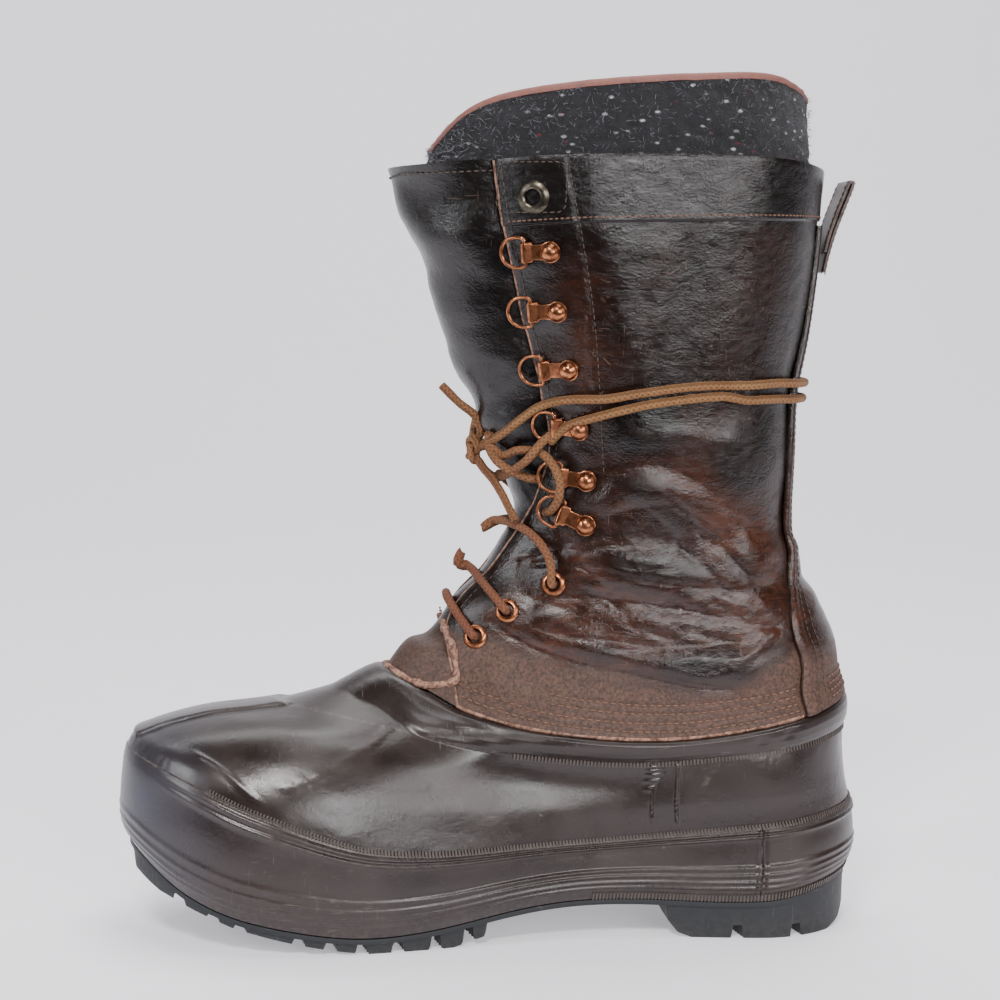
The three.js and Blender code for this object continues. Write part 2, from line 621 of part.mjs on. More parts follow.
function makeSole() {
  const edge = sectionAt(FORM, LEVEL.edge);
  const plate = slab(soleStations, 0, (x) => soleTop(x) - PLATE, soleTop);
  const cutters = [];
  const cut = (x, y, long, wide, turn, top = soleTop(x) - PLATE - 0.4) => {
    const tall = 40;
    const box = new THREE.BoxGeometry(long, wide, tall).rotateZ(turn);
    cutters.push(box.translate(x, y, top - tall / 2));
  };
  const notch = (x, top) => {
    for (const side of [-1, 1]) {
      const section = sectionAt(FORM, LEVEL.edge);
      const reach = halfWidth(section, x, side < 0 ? 'medial' : 'lateral');
      const y = centreLine(x) + side * (reach - NOTCH.depth / 2 + 3);
      cut(x, y, NOTCH.width, NOTCH.depth, side * NOTCH.slant, top);
    }
  };
  TREAD_NOTCHES.forEach((x) => notch(x));
  HEEL_NOTCHES.forEach((x) => notch(x, HEEL_NICK));
  for (const { x, y, long, wide } of GROOVES) cut(x, centreLine(x) + y, long, wide, 0);
  const blocks = joined([treadBlock(TREAD), treadBlock(HEEL_TREAD)]);
  addPiece('outsole', joined([plate, without(blocks, cutters)]), 'sole');

  const rim = RUBBER + 1;
  const reach = [edge.front + rim + 0.5, edge.back - rim - 0.5];
  const inside = soleStations.filter((x) => x > reach[0] + 1 && x < reach[1] - 1);
  const insole = slab([reach[0], ...inside, reach[1]], rim,
    (x) => soleTop(x) + 2 * GAP, (x) => soleTop(x) + 2 * GAP + INSOLE);
  addPiece('insole', insole, 'felt');
}

// The liner
const linerAngles = Array.from({ length: 2 * LINER_COLUMNS }, (_, c) => (Math.PI * c) / LINER_COLUMNS);

function makeLiner() {
  const sections = [
    ...Object.entries(SECTIONS).map(([name, section]) => {
      const reach = LINER_FRONTS[name];
      return reach ? { ...section, front: reach.front, caps: [section.caps[0], reach.cap] } : section;
    }),
    ...LINER_TOP,
  ];
  const row = (wall) => ({ at, inset }) => linerAngles.map((angle) => {
    const point = offsetOn(sections, at, angle, -inset - wall);
    if (at === FLOOR_LEVEL) point.z = soleTop(point.x) + INSOLE + 2 * EASE + wall;
    return point;
  });
  const solid = solidBetween(LINER_ROWS.map(row(0)), LINER_ROWS.map(row(FELT)),
    { closed: true, floor: true });
  addPiece('liner', solid, 'felt');
}

// A frame on the shaft: where the form meets x and z on one side, and its directions there.
function spotOn(x, z, side, out = 0) {
  const level = solve((v) => pointOn(FORM, v, angleAt(FORM, v, x)).z - z, LEVEL.collar, LEVEL.top);
  const angle = angleAt(FORM, level, x) * side;
  const normal = normalOn(FORM, level, angle);
  const place = pointOn(FORM, level, angle).addScaledVector(normal, out);
  return { level, angle, normal, place };
}

// A frame from an origin, its X direction and its Y direction.
function frameAt(origin, xAxis, yAxis) {
  const z = xAxis.clone().cross(yAxis).normalize();
  const x = yAxis.clone().cross(z).normalize();
  return { origin, turn: new THREE.Matrix4().makeBasis(x, yAxis, z) };
}

const inFrame = (geometry, frame) => geometry.clone()
  .applyMatrix4(frame.turn)
  .translate(frame.origin.x, frame.origin.y, frame.origin.z);

const SIDES = [{ name: 'medial', sign: 1 }, { name: 'lateral', sign: -1 }];
const forward = new THREE.Vector3(-1, 0, 0);

// The leather shaft
const SHAFT_ROWS = [6.05, 6.5, 7, 8, 9, 10, 11, 12, 13, 14, 15, 16, 17, 17.96, 18.04, 19];

function makeShaft() {
  const row = (wall) => (at) => Array.from({ length: QUARTER_COLUMNS + 1 }, (_, c) => {
    const reach = angleAt(FORM, at, sectionAt(FORM, at).edge);
    const angle = reach * (1 - (2 * c) / QUARTER_COLUMNS);
    const cuff = wall === 0 && at > LEVEL.cuff ? CUFF : 0;
    return offsetOn(FORM, at, angle, cuff - wall);
  });
  const shaft = solidBetween(SHAFT_ROWS.map(row(0)), SHAFT_ROWS.map(row(LEATHER)), { closed: false });
  const holes = [];
  for (const { sign } of SIDES) {
    for (const { x, z } of [...EYELETS, GROMMET]) {
      const barrel = (z === GROMMET.z ? TOP_GROMMET : EYELET).barrel + HOLE_EASE;
      const spot = spotOn(x, z, sign);
      const hole = new THREE.CylinderGeometry(barrel, barrel, 12, 8);
      holes.push(inFrame(hole, frameAt(spot.place, forward, spot.normal)));
    }
  }
  addPiece('upper_leather_shaft', without(shaft, holes), 'leather');
}

// The tongue
const WING_COLUMNS = 2;
const FRONT_COLUMNS = 4;      // facets from a quarter's front edge to the foremost point

// A row of the tongue, from its medial edge to its lateral edge, sunk by a wall.
function tongueRow({ at, reach, front, z, inset }, wall) {
  const edge = sectionAt(FORM, at).edge;
  const wing = edge + reach;
  const half = (sign) => {
    const onForm = (angle) => offsetOn(FORM, at, sign * angle, -inset - wall);
    const points = [];
    for (let c = 0; c <= WING_COLUMNS; c += 1) {
      points.push(onForm(angleAt(FORM, at, mix(wing, edge - 0.01, c / WING_COLUMNS))));
    }
    const bend = points[WING_COLUMNS];
    for (let c = 1; c <= FRONT_COLUMNS; c += 1) {
      const share = c / FRONT_COLUMNS;
      if (front === undefined) {
        points.push(onForm(mix(angleAt(FORM, at, edge - 0.01), Math.PI, share)));
      } else {
        const turn = (share * Math.PI) / 2;
        points.push(new THREE.Vector3(
          mix(bend.x, front + wall, Math.sin(turn)),
          mix(centreLine(front), bend.y, Math.cos(turn)),
          mix(bend.z, z, Math.sin(turn)),
        ));
      }
    }
    return points;
  };
  return [...half(1), ...half(-1).reverse().slice(1)];
}

function makeTongue() {
  const outer = TONGUE.map((row) => tongueRow(row, 0));
  const inner = TONGUE.map((row) => tongueRow(row, LEATHER));
  addPiece('tongue', solidBetween(outer, inner, { closed: false }), 'leather');
}

// The stay up the back, and the pull loop
function makeBack() {
  const row = (out) => ({ at, half }) => {
    const reach = (sign) => solve((a) => {
      const p = pointOn(FORM, at, sign * a);
      return Math.abs(p.y - centreLine(p.x)) - half;
    }, 0, 1.5);
    const [medial, lateral] = [reach(1), reach(-1)];
    return Array.from({ length: BACKSTAY.columns + 1 }, (_, c) => {
      const angle = mix(medial, -lateral, c / BACKSTAY.columns);
      return offsetOn(FORM, at, angle, out);
    });
  };
  const low = EASE + GAP;
  const high = low + BACKSTAY.rise;
  addPiece('backstay', solidBetween(BACKSTAY_ROWS.map(row(high)), BACKSTAY_ROWS.map(row(low)),
    { closed: false }), 'leather');

  const shape = new THREE.Shape(PULL_LOOP.outline.map(([x, z]) => new THREE.Vector2(x, z)));
  shape.holes.push(new THREE.Path(PULL_LOOP.slit.map(([x, z]) => new THREE.Vector2(x, z))));
  const loop = new THREE.ExtrudeGeometry(shape, { depth: PULL_LOOP.width, bevelEnabled: false })
    .rotateX(Math.PI / 2)
    .translate(0, PULL_LOOP.width / 2, 0);
  addPiece('pull_loop', loop, 'leather');
}

// Eyelets, grommets, clips and rings
function eyeletGeometry({ bore, barrel, rim, rise }, depth) {
  const profile = [[bore, -depth], [barrel, -depth], [barrel, GAP], [rim, GAP], [rim - 0.5, rise],
    [bore + 0.3, rise], [bore, -depth]];
  return new THREE.LatheGeometry(profile.map(([r, h]) => new THREE.Vector2(r, h)), 8);
}

// A clip seen from its side: a doubled plate with an eye for the ring's bar at the origin.
function clipGeometry(length) {
  const { plate, tail, eye, bore, width } = CLIP;
  const shape = new THREE.Shape();
  shape.moveTo(-length - tail, -eye);
  shape.lineTo(0, -eye);
  shape.absarc(0, 0, eye, -Math.PI / 2, Math.PI / 2, false);
  shape.lineTo(-eye, eye * 0.8);
  shape.lineTo(-eye * 1.9, plate - eye);
  shape.lineTo(-length - tail, plate - eye);
  shape.closePath();
  const hole = new THREE.Path();
  hole.absarc(0, 0, bore, 0, 2 * Math.PI, true);
  shape.holes.push(hole);
  const strap = new THREE.ExtrudeGeometry(shape, { depth: width, bevelEnabled: false,
    curveSegments: 4 }).translate(0, 0, -width / 2);
  const foot = plate - eye - 0.3;
  const { radius, rise } = RIVET;
  const dome = [[0, foot], [radius, foot], [radius, foot + 0.8], [radius * 0.72, foot + rise],
    [0, foot + rise + 0.6]];
  const head = new THREE.LatheGeometry(dome.map(([r, h]) => new THREE.Vector2(r, h)), 8)
    .translate(-length, 0, 0);
  return joined([strap, head]);
}

// A ring of round wire: its bar lies on the Z axis and its bow reaches along X.
function ringGeometry() {
  const { half, side, bar, wire } = RING;
  const route = [[0, -bar], [0, bar], [0.5, half - 0.5], [1.7, half]];
  const bows = 4;
  for (let k = 0; k <= bows; k += 1) {
    const turn = (Math.PI * k) / bows;
    route.push([side + half * Math.sin(turn), half * Math.cos(turn)]);
  }
  route.push([1.7, -half], [0.5, -half + 0.5]);
  const sides = 4;
  const count = route.length;
  const rings = route.map(([x, z], i) => {
    const before = route[(i + count - 1) % count];
    const after = route[(i + 1) % count];
    const heading = new THREE.Vector2(after[0] - before[0], after[1] - before[1]).normalize();
    return Array.from({ length: sides }, (_, k) => {
      const turn = (2 * Math.PI * (k + 0.5)) / sides;
      const [across, up] = [wire * Math.cos(turn), wire * Math.sin(turn)];
      return new THREE.Vector3(x - heading.y * across, up, z + heading.x * across);
    });
  });
  const triangles = [];
  rings.forEach((ring, i) => {
    const after = rings[(i + 1) % count];
    ring.forEach((a, k) => {
      const n = (k + 1) % sides;
      triangles.push(a, ring[n], after[n], a, after[n], after[k]);
    });
  });
  return geometryOf(triangles);
}

// Where a hook sits: a frame at its ring's bar, X forward along its clip and Y off the leather.
function hookFrame({ bar, rivet }, sign) {
  const [front, back] = [spotOn(bar.x, bar.z, sign), spotOn(rivet.x, rivet.z, sign)];
  const normal = front.normal.clone().add(back.normal).normalize();
  const middle = front.place.clone().add(back.place).multiplyScalar(0.5);
  const arm = front.place.clone().sub(back.place);
  arm.addScaledVector(normal, -arm.dot(normal));
  const bulges = [-0.2, 0.2, 0.6, 1].map((share) => {
    const [x, z] = [mix(rivet.x, bar.x, share), mix(rivet.z, bar.z, share)];
    return spotOn(x, z, sign).place.sub(middle).dot(normal);
  });
  const origin = middle.addScaledVector(arm, 0.5)
    .addScaledVector(normal, Math.max(...bulges) + EASE * 0.6 + CLIP.eye);
  return { ...frameAt(origin, arm.clone().normalize(), normal), length: arm.length(), normal };
}

function makeFittings() {
  for (const { name, sign } of SIDES) {
    for (const eyelet of EYELETS) {
      const spot = spotOn(eyelet.x, eyelet.z, sign);
      addPiece(`eyelet_${eyelet.name}_${name}`, eyeletGeometry(EYELET, LEATHER - 0.2), 'copper',
        frameAt(spot.place, forward, spot.normal));
    }
    const spot = spotOn(GROMMET.x, GROMMET.z, sign, CUFF);
    addPiece(`grommet_${name}`, eyeletGeometry(TOP_GROMMET, LEATHER + CUFF - 0.2), 'brass',
      frameAt(spot.place, forward, spot.normal));
    HOOKS.forEach((hook, i) => {
      const frame = hookFrame(hook, sign);
      addPiece(`clip_${i + 1}_${name}`, clipGeometry(frame.length), 'copper', frame);
      addPiece(`ring_${i + 1}_${name}`, ringGeometry(), 'copper', frame);
    });
  }
}

// The lace
// A round cord through points, with flat ends.
function cordGeometry(points, steps) {
  const path = new THREE.CatmullRomCurve3(points);
  const section = new THREE.Shape();
  const sides = 5;
  for (let k = 0; k < sides; k += 1) {
    const turn = (2 * Math.PI * k) / sides;
    const [x, y] = [LACE * Math.cos(turn), LACE * Math.sin(turn)];
    if (k === 0) section.moveTo(x, y);
    else section.lineTo(x, y);
  }
  section.closePath();
  return new THREE.ExtrudeGeometry(section, { steps, bevelEnabled: false, extrudePath: path });
}

// Bars over the throat: out of one eyelet, round the front and into the other.
function makeBars() {
  BARS.forEach((bar, i) => {
    const apex = new THREE.Vector3(bar.x, centreLine(bar.x), bar.z);
    const half = (sign) => {
      const { place, normal } = spotOn(EYELETS[i].x, EYELETS[i].z, sign);
      const beside = apex.clone().add(new THREE.Vector3(2.5, -sign * 7, -1));
      return [
        place.clone().addScaledVector(normal, -0.8),
        place.clone().addScaledVector(normal, 3.6),
        place.clone().lerp(beside, 0.14).addScaledVector(normal, 6.8),
        place.clone().lerp(beside, 0.6).addScaledVector(normal, 5),
        beside,
      ];
    };
    const route = [...half(1), apex, ...half(-1).reverse()];
    addPiece(`lace_bar_${bar.name}`, cordGeometry(route, 13), 'lace');
  });
}

// Crossings before the tongue: up through a ring's opening, over its bow and across.
function makeCrossings() {
  const strands = [];
  for (const { from, to, x, z } of CROSSINGS) {
    const middle = new THREE.Vector3(x, centreLine(x), z);
    for (const sign of [1, -1]) {
      const end = (hook, side) => {
        const frame = hookFrame(HOOKS[hook], side);
        const ahead = new THREE.Vector3().setFromMatrixColumn(frame.turn, 0);
        const at = (along, up) => frame.origin.clone().addScaledVector(ahead, along)
          .addScaledVector(frame.normal, up);
        return [at(5, -1.2), at(5.2, 1.6), at(8, 3.8), at(12.5, 3.6)];
      };
      const start = end(from, sign);
      const finish = end(to, -sign);
      strands.push(cordGeometry([...start, middle, ...finish.reverse()], 12));
    }
  }
  addPiece('lace_crossings', joined(strands), 'lace');
}

// The tongue's outline at a height before the throat, between two of its rows.
function tongueAt(z) {
  const front = TONGUE.filter((row) => row.front !== undefined);
  let i = 0;
  while (i < front.length - 2 && z > front[i + 1].z) i += 1;
  const share = (z - front[i].z) / (front[i + 1].z - front[i].z);
  const [low, high] = [tongueRow(front[i], 0), tongueRow(front[i + 1], 0)];
  return low.map((point, k) => point.clone().lerp(high[k], share));
}

// Two turns round the shaft, over the tongue at the front.
function makeWraps() {
  const stand = LACE + GAP + 0.5;
  const xs = WRAP_ROUTE.map((row) => -row.x);
  for (const name of WRAPS) {
    const heightAlong = (x) => curve(xs, WRAP_ROUTE.map((row) => row[name]), -x);
    const points = [];
    const columns = 8;
    for (let c = -columns; c <= columns; c += 1) {
      const angle = (-2.25 * c) / columns;
      const x = pointOn(FORM, LEVEL.calf, angle).x;
      const level = levelAt(angle, heightAlong(x));
      const stay = Math.abs(c) < 3 ? BACKSTAY.rise + EASE + GAP : 0;
      points.push(offsetOn(FORM, level, angle, stand + stay));
    }
    const ahead = tongueAt(heightAlong(-120)).reverse();
    for (let k = WING_COLUMNS + 2; k < ahead.length - WING_COLUMNS - 2; k += 1) {
      const along = ahead[k + 1].clone().sub(ahead[k - 1]).setZ(0).normalize();
      const out = new THREE.Vector3(-Math.abs(along.y), along.x * Math.sign(along.y), 0);
      const point = ahead[k].clone().addScaledVector(out, stand);
      point.z = heightAlong(point.x);
      points.push(point);
    }
    const path = new THREE.CatmullRomCurve3(points, true);
    addPiece(`lace_wrap_${name}`, new THREE.TubeGeometry(path, 32, LACE, 5, true), 'lace');
  }
}

function makeEnds() {
  const knot = new THREE.SphereGeometry(KNOT.radius, 8, 6).translate(KNOT.x, KNOT.y, KNOT.z);
  addPiece('lace_knot', knot, 'lace');
  for (const { name, points } of LACE_ENDS) {
    const route = points.map(([x, y, z]) => new THREE.Vector3(x, y, z));
    addPiece(name, cordGeometry(route, 9), 'lace');
  }
}

makeShell();
makeSole();
makeLiner();
makeShaft();
makeTongue();
makeBack();
makeFittings();
makeBars();
makeCrossings();
makeWraps();
makeEnds();

export default boot;
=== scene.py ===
import math

import bmesh
import bpy
import numpy as np
from mathutils import Matrix, Vector


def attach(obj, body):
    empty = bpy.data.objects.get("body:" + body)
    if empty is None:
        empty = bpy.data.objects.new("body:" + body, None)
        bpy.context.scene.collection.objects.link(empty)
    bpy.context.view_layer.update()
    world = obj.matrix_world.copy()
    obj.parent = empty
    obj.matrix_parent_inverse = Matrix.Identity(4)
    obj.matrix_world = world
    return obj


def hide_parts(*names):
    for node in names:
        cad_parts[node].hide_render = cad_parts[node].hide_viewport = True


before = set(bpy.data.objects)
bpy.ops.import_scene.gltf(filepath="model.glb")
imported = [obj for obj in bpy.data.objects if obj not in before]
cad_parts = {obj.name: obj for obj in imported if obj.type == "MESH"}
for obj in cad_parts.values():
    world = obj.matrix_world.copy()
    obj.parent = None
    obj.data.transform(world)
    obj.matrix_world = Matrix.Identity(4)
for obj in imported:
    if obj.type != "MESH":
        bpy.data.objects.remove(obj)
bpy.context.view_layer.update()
MM = 0.001

# The form of the boot
HEEL_X = 45
TOE_X = -275
TOE_SHIFT = -9
FOREFOOT = (0.2, 0.6)
# Share of the length from the heel, medial half-width, lateral half-width.
FOOTPRINT = np.array([
    [0.00, 41, 41], [0.14, 43, 43], [0.32, 38, 46], [0.46, 41, 53],
    [0.60, 52, 60], [0.72, 57, 61], [0.86, 54, 57], [1.00, 48, 50],
])
HEIGHT_SHARES = np.array([0, 0.14, 0.4, 0.66, 0.83, 0.92, 1])
# back, front, back cap, front cap, spread, slim, egg, medial, lateral, quarter edge, seven heights.
BACK, FRONT, CAP_BACK, CAP_FRONT, SPREAD, SLIM, EGG, MEDIAL, LATERAL, EDGE, HEIGHTS = range(11)
SECTIONS = {
    "edge": (42, -271, 44, 66, -2.5, 0, 0, 44, 48, 0, 24, 16.4, 16.6, 6.8, 13.4, 23, 40),
    "foxing": (46, -275, 46, 68, 1.5, 0, 0, 44, 48, 0, 37, 30, 28, 20, 27, 37, 52),
    "band": (43.5, -272, 46, 70, 0, 0, 0, 44, 48, 0, 55, 49.7, 42.5, 43, 60, 71.5, 80),
    "wall": (41, -262, 46, 84, 0, 3, 0.1, 44, 48, 0, 67, 62, 56, 60, 76, 83, 87),
    "crown": (40, -240, 46, 92, 0, 8, 0.25, 42, 47, 0, 78, 73, 67, 73, 86, 90.5, 93),
    "bridge": (39.5, -205, 46, 104, 0, 12, 0.6, 41, 45, -134, 89, 83, 76.5, 82, 91.5, 95.5, 98),
    "collar": (38, -163.5, 47, 112, 0, 12, 1, 42, 45, -134, 101.4, 93.7, 86, 88.4, 95.5, 104, 112),
    "hem": (34.4, -154, 46, 112, 0, 0, 1, 41, 43.5, -136.5, 111, 105, 99, 102, 111, 117, 123),
    "vamp": (32.5, -143, 46, 100, 0, 0, 1, 40, 42.5, -138, 122, 117, 112, 114, 122, 128, 134),
    "instep": (29.4, -135, 46, 90, 0, 0, 1, 39.5, 41.5, -132, 132, 128, 124, 126, 134, 139.5, 145),
    "bend": (24, -124, 46, 80, 0, 0, 1, 39, 41, -121, 142, 139, 137, 139, 146, 151, 156),
    "fold": (16.8, -117, 44, 70, 0, 0, 1, 38.5, 40, -113, 153, 151, 150, 153, 160, 164, 168),
    "ankle": (14.8, -111, 44, 62, 0, 0, 1, 39, 40, -106, 165, 164, 164, 167, 173, 176.5, 180),
    "waist": (11.7, -108, 44, 60, 0, 0, 1, 40, 41, -101.5, 176, 176, 177, 180, 184.5, 187, 190),
    "shin": (11.8, -106, 46, 60, 0, 0, 1, 43, 43.5, -96.5, 200, 200, 202, 204, 207, 208.5, 210),
    "calf": (11.8, -115, 48, 60, 0, 0, 1, 46, 46, -101.5, 231, 231, 232, 233.5, 235, 235.5, 236),
    "swell": (16.5, -125, 50, 60, 0, 0, 1, 49, 49, -110, 260, 260, 260.5, 261, 261.5, 262, 262),
    "shoulder": (19.4, -133, 52, 60, 0, 0, 1, 52, 52, -116.6, 288, 288, 288.5, 289, 289.5, 290, 290),
    "cuff": (20.5, -136, 54, 60, 0, 0, 1, 53.5, 53.5, -119, 306, 305, 303.5, 302, 300.5, 299.5, 299),
    "top": (22.2, -141, 55, 60, 0, 0, 1, 55, 55, -123.5, 327, 329.5, 330, 329, 327.5, 326.5, 326),
}
FORM = np.array(list(SECTIONS.values()), dtype=float)
LEVEL = {name: i for i, name in enumerate(SECTIONS)}
COLLAR = LEVEL["collar"]
CUFF = LEVEL["cuff"]
TOP = LEVEL["top"]
# Walls
LEATHER = 2.2
RUBBER = 3
FELT = 6
# The lowest level of the shaft, and the lowest and highest level of the backstay.
SHAFT_FOOT = 6.05
STAY_FOOT = 6.04
STAY_HEAD = 17.9
# The outsole's top lies a little below the form's lowest edge; the liner's floor stands above that top.
SOLE_DROP = 0.35
FLOOR_RISE = 5.1


def clamp(value, low, high):
    return np.minimum(np.maximum(value, low), high)


def smooth_step(low, high, value):
    t = clamp((value - low) / (high - low), 0, 1)
    return t * t * (3 - 2 * t)


def bump(value, middle, width):
    """A smooth hump of height 1 round a middle."""
    return np.exp(-((value - middle) / width) ** 2)


def curve(xs, ys, x):
    """A smooth value at x through (xs, ys); ys may have its own row for each x."""
    xs, ys, x = np.asarray(xs, float), np.asarray(ys, float), np.asarray(x, float)
    last = len(xs) - 1
    i = np.searchsorted(xs[1:-1], x, side="left")

    def pick(k):
        if ys.ndim == 1:
            return ys[k]
        return np.take_along_axis(ys, k[..., None], -1)[..., 0]

    def slope(k):
        low, high = np.maximum(k - 1, 0), np.minimum(k + 1, last)
        return (pick(high) - pick(low)) / (xs[high] - xs[low])

    span = xs[i + 1] - xs[i]
    t = clamp((x - xs[i]) / span, 0, 1)
    bend = t * (1 - t) * span * ((1 - t) * slope(i) - t * slope(i + 1))
    first = pick(i)
    return first + (pick(i + 1) - first) * t * t * (3 - 2 * t) + bend


def section_at(form, level):
    """The form's section at each level, blended from the four around it."""
    i = clamp(np.floor(level), 0, len(form) - 2).astype(int)
    t = level - i
    weights = (
        (-t**3 + 2 * t**2 - t) / 2,
        (3 * t**3 - 5 * t**2 + 2) / 2,
        (-3 * t**3 + 4 * t**2 + t) / 2,
        (t**3 - t**2) / 2,
    )
    picks = [form[clamp(i + k - 1, 0, len(form) - 1).astype(int)] for k in range(4)]
    return sum(w[..., None] * pick for w, pick in zip(weights, picks))


def round_end(e):
    return np.sqrt(np.maximum(0, 1 - (1 - clamp(e, 0, 1)) ** 2))


def foot_share(x):
    return clamp((HEEL_X - x) / (HEEL_X - TOE_X), 0, 1)


def centre_line(x):
    return TOE_SHIFT * foot_share(x) ** 2


def half_width(s, x, medial):
    share = foot_share(x)
    forefoot = smooth_step(*FOREFOOT, share)
    foot = np.where(medial, curve(FOOTPRINT[:, 0], FOOTPRINT[:, 1], share),
                    curve(FOOTPRINT[:, 0], FOOTPRINT[:, 2], share)) + s[..., SPREAD]
    oval = np.where(medial, s[..., MEDIAL], s[..., LATERAL])
    plain = foot - s[..., SLIM] * forefoot
    width = plain + (oval - plain) * s[..., EGG]
    ends = round_end((s[..., BACK] - x) / s[..., CAP_BACK])
    return width * ends * round_end((x - s[..., FRONT]) / s[..., CAP_FRONT])


def height_at(s, x):
    share = (s[..., BACK] - x) / (s[..., BACK] - s[..., FRONT])
    return curve(HEIGHT_SHARES, s[..., HEIGHTS:], clamp(share, 0, 1))


def point_on(form, level, angle):
    """A point of the form: angle 0 is its back, a quarter turn its medial side, a half its front."""
    level, angle = np.broadcast_arrays(np.asarray(level, float), np.asarray(angle, float))
    s = section_at(form, level)
    back, front = s[..., BACK], s[..., FRONT]
    x = (back + front) / 2 + (back - front) / 2 * np.cos(angle)
    medial = np.sin(angle) >= 0
    y = half_width(s, x, medial) * np.where(medial, -1, 1)
    return np.stack([x, centre_line(x) + y, height_at(s, x)], -1)


def unit(v):
    return v / np.maximum(np.linalg.norm(v, axis=-1, keepdims=True), 1e-9)


def normal_on(form, level, angle):
    step = 0.02
    level, angle = np.broadcast_arrays(np.asarray(level, float), np.asarray(angle, float))
    top = len(form) - 1
    up = point_on(form, np.minimum(level + step, top), angle)
    up = up - point_on(form, np.maximum(level - step, 0), angle)
    around = point_on(form, level, angle + step) - point_on(form, level, angle - step)
    return unit(np.cross(up, around))


def skin_on(form, level, angle):
    """Points of the form, with their normals."""
    return point_on(form, level, angle), normal_on(form, level, angle)


def offset_on(form, level, angle, out):
    out = np.broadcast_to(out, np.broadcast(level, angle).shape)
    skin, normal = skin_on(form, level, angle)
    return skin + normal * out[..., None]


def angle_at(form, level, x):
    s = section_at(form, np.asarray(level, float))
    back, front = s[..., BACK], s[..., FRONT]
    return np.arccos(clamp((2 * x - back - front) / (back - front), -1, 1))


def solve(rising, low, high, shape=()):
    """The root of a rising function between low and high, at each place of an array."""
    low, high = np.full(shape, float(low)), np.full(shape, float(high))
    for _ in range(36):
        middle = (low + high) / 2
        under = rising(middle) < 0
        low, high = np.where(under, middle, low), np.where(under, high, middle)
    return (low + high) / 2


def level_of(x, z):
    """The form's level where the side of the shaft passes x and z."""
    x, z = np.broadcast_arrays(np.asarray(x, float), np.asarray(z, float))
    side = lambda v: point_on(FORM, v, angle_at(FORM, v, x))[..., 2] - z
    return solve(side, COLLAR, TOP, x.shape)


def spot_on(x, z, sign, out=0):
    """Where the shaft meets x and z on one side (sign 1 is medial): place and normal."""
    level = level_of(x, z)
    place, normal = skin_on(FORM, level, angle_at(FORM, level, x) * sign)
    return place + normal * out, normal


# Relief: noise and drawn lines
def lattice(i, seed):
    """A steady random number from 0 to 1 for each cell of a 3-D lattice."""
    h = (i[..., 0] * 73856093) ^ (i[..., 1] * 19349663) ^ (i[..., 2] * 83492791) ^ (seed * 2654435761)
    h = (h ^ (h >> 13)) * 1274126177
    return ((h ^ (h >> 16)) & 0xFFFFFF) / 0xFFFFFF


def noise(points, size, seed=0):
    """Smooth noise from -1 to 1 whose lumps are size across (one number, or one for each axis)."""
    p = points / np.asarray(size, float)
    cell = np.floor(p).astype(np.int64)
    f = p - cell
    f = f * f * (3 - 2 * f)
    total = 0
    for dx in (0, 1):
        for dy in (0, 1):
            for dz in (0, 1):
                corner = np.array([dx, dy, dz])
                weight = np.prod(np.where(corner == 1, f, 1 - f), axis=-1)
                total = total + weight * lattice(cell + corner, seed)
    return 2 * total - 1


def distance_to(u, v, line):
    """Distance of (u, v) from a drawn line."""
    best = np.full(np.shape(u), 1e9)
    for (au, av), (bu, bv) in zip(line[:-1], line[1:]):
        du, dv = bu - au, bv - av
        t = clamp(((u - au) * du + (v - av) * dv) / (du * du + dv * dv), 0, 1)
        best = np.minimum(best, np.hypot(u - au - t * du, v - av - t * dv))
    return best


def distances(path):
    """How far along a path each of its points lies."""
    return np.concatenate([[0], np.cumsum(np.linalg.norm(np.diff(path, axis=0), axis=1))])


def smooth_line(points, count=24):
    """A drawn line's points, made smooth and even."""
    points = np.asarray(points, float)
    along = distances(points)
    at = np.linspace(0, along[-1], count)
    return np.stack([curve(along, points[:, k], at) for k in range(points.shape[1])], -1)


# Meshes
def grid_faces(rows, columns, start, closed):
    """Faces of a grid of vertices; a closed one runs round."""
    r = np.arange(rows - 1)[:, None]
    c = np.arange(columns if closed else columns - 1)[None, :]
    after = (c + 1) % columns
    corners = [start + r * columns + c, start + r * columns + after,
               start + (r + 1) * columns + after, start + (r + 1) * columns + c]
    return np.stack(corners, -1).reshape(-1, 4).tolist()


def ring_faces(rings, sides, joined=False):
    """Faces along a row of rings of vertices, whose ends are capped or joined to each other."""
    faces = grid_faces(rings, sides, 0, True)
    last = (rings - 1) * sides
    if joined:
        return faces + [(last + c, last + (c + 1) % sides, (c + 1) % sides, c) for c in range(sides)]
    return faces + [tuple(range(sides)), tuple(range(last, last + sides))]


def zip_faces(one, other):
    """Triangles between two rows of vertices that may differ in number."""
    faces = []
    i = j = 0
    while i < len(one) - 1 or j < len(other) - 1:
        ahead_one = (i + 1) / (len(one) - 1) if i < len(one) - 1 else 9
        ahead_other = (j + 1) / (len(other) - 1) if j < len(other) - 1 else 9
        if ahead_one <= ahead_other:
            faces.append((one[i], one[i + 1], other[j]))
            i += 1
        else:
            faces.append((one[i], other[j + 1], other[j]))
            j += 1
    return faces


def into_scene(name, data):
    made = bpy.data.objects.new(name, data)
    bpy.context.scene.collection.objects.link(made)
    return made


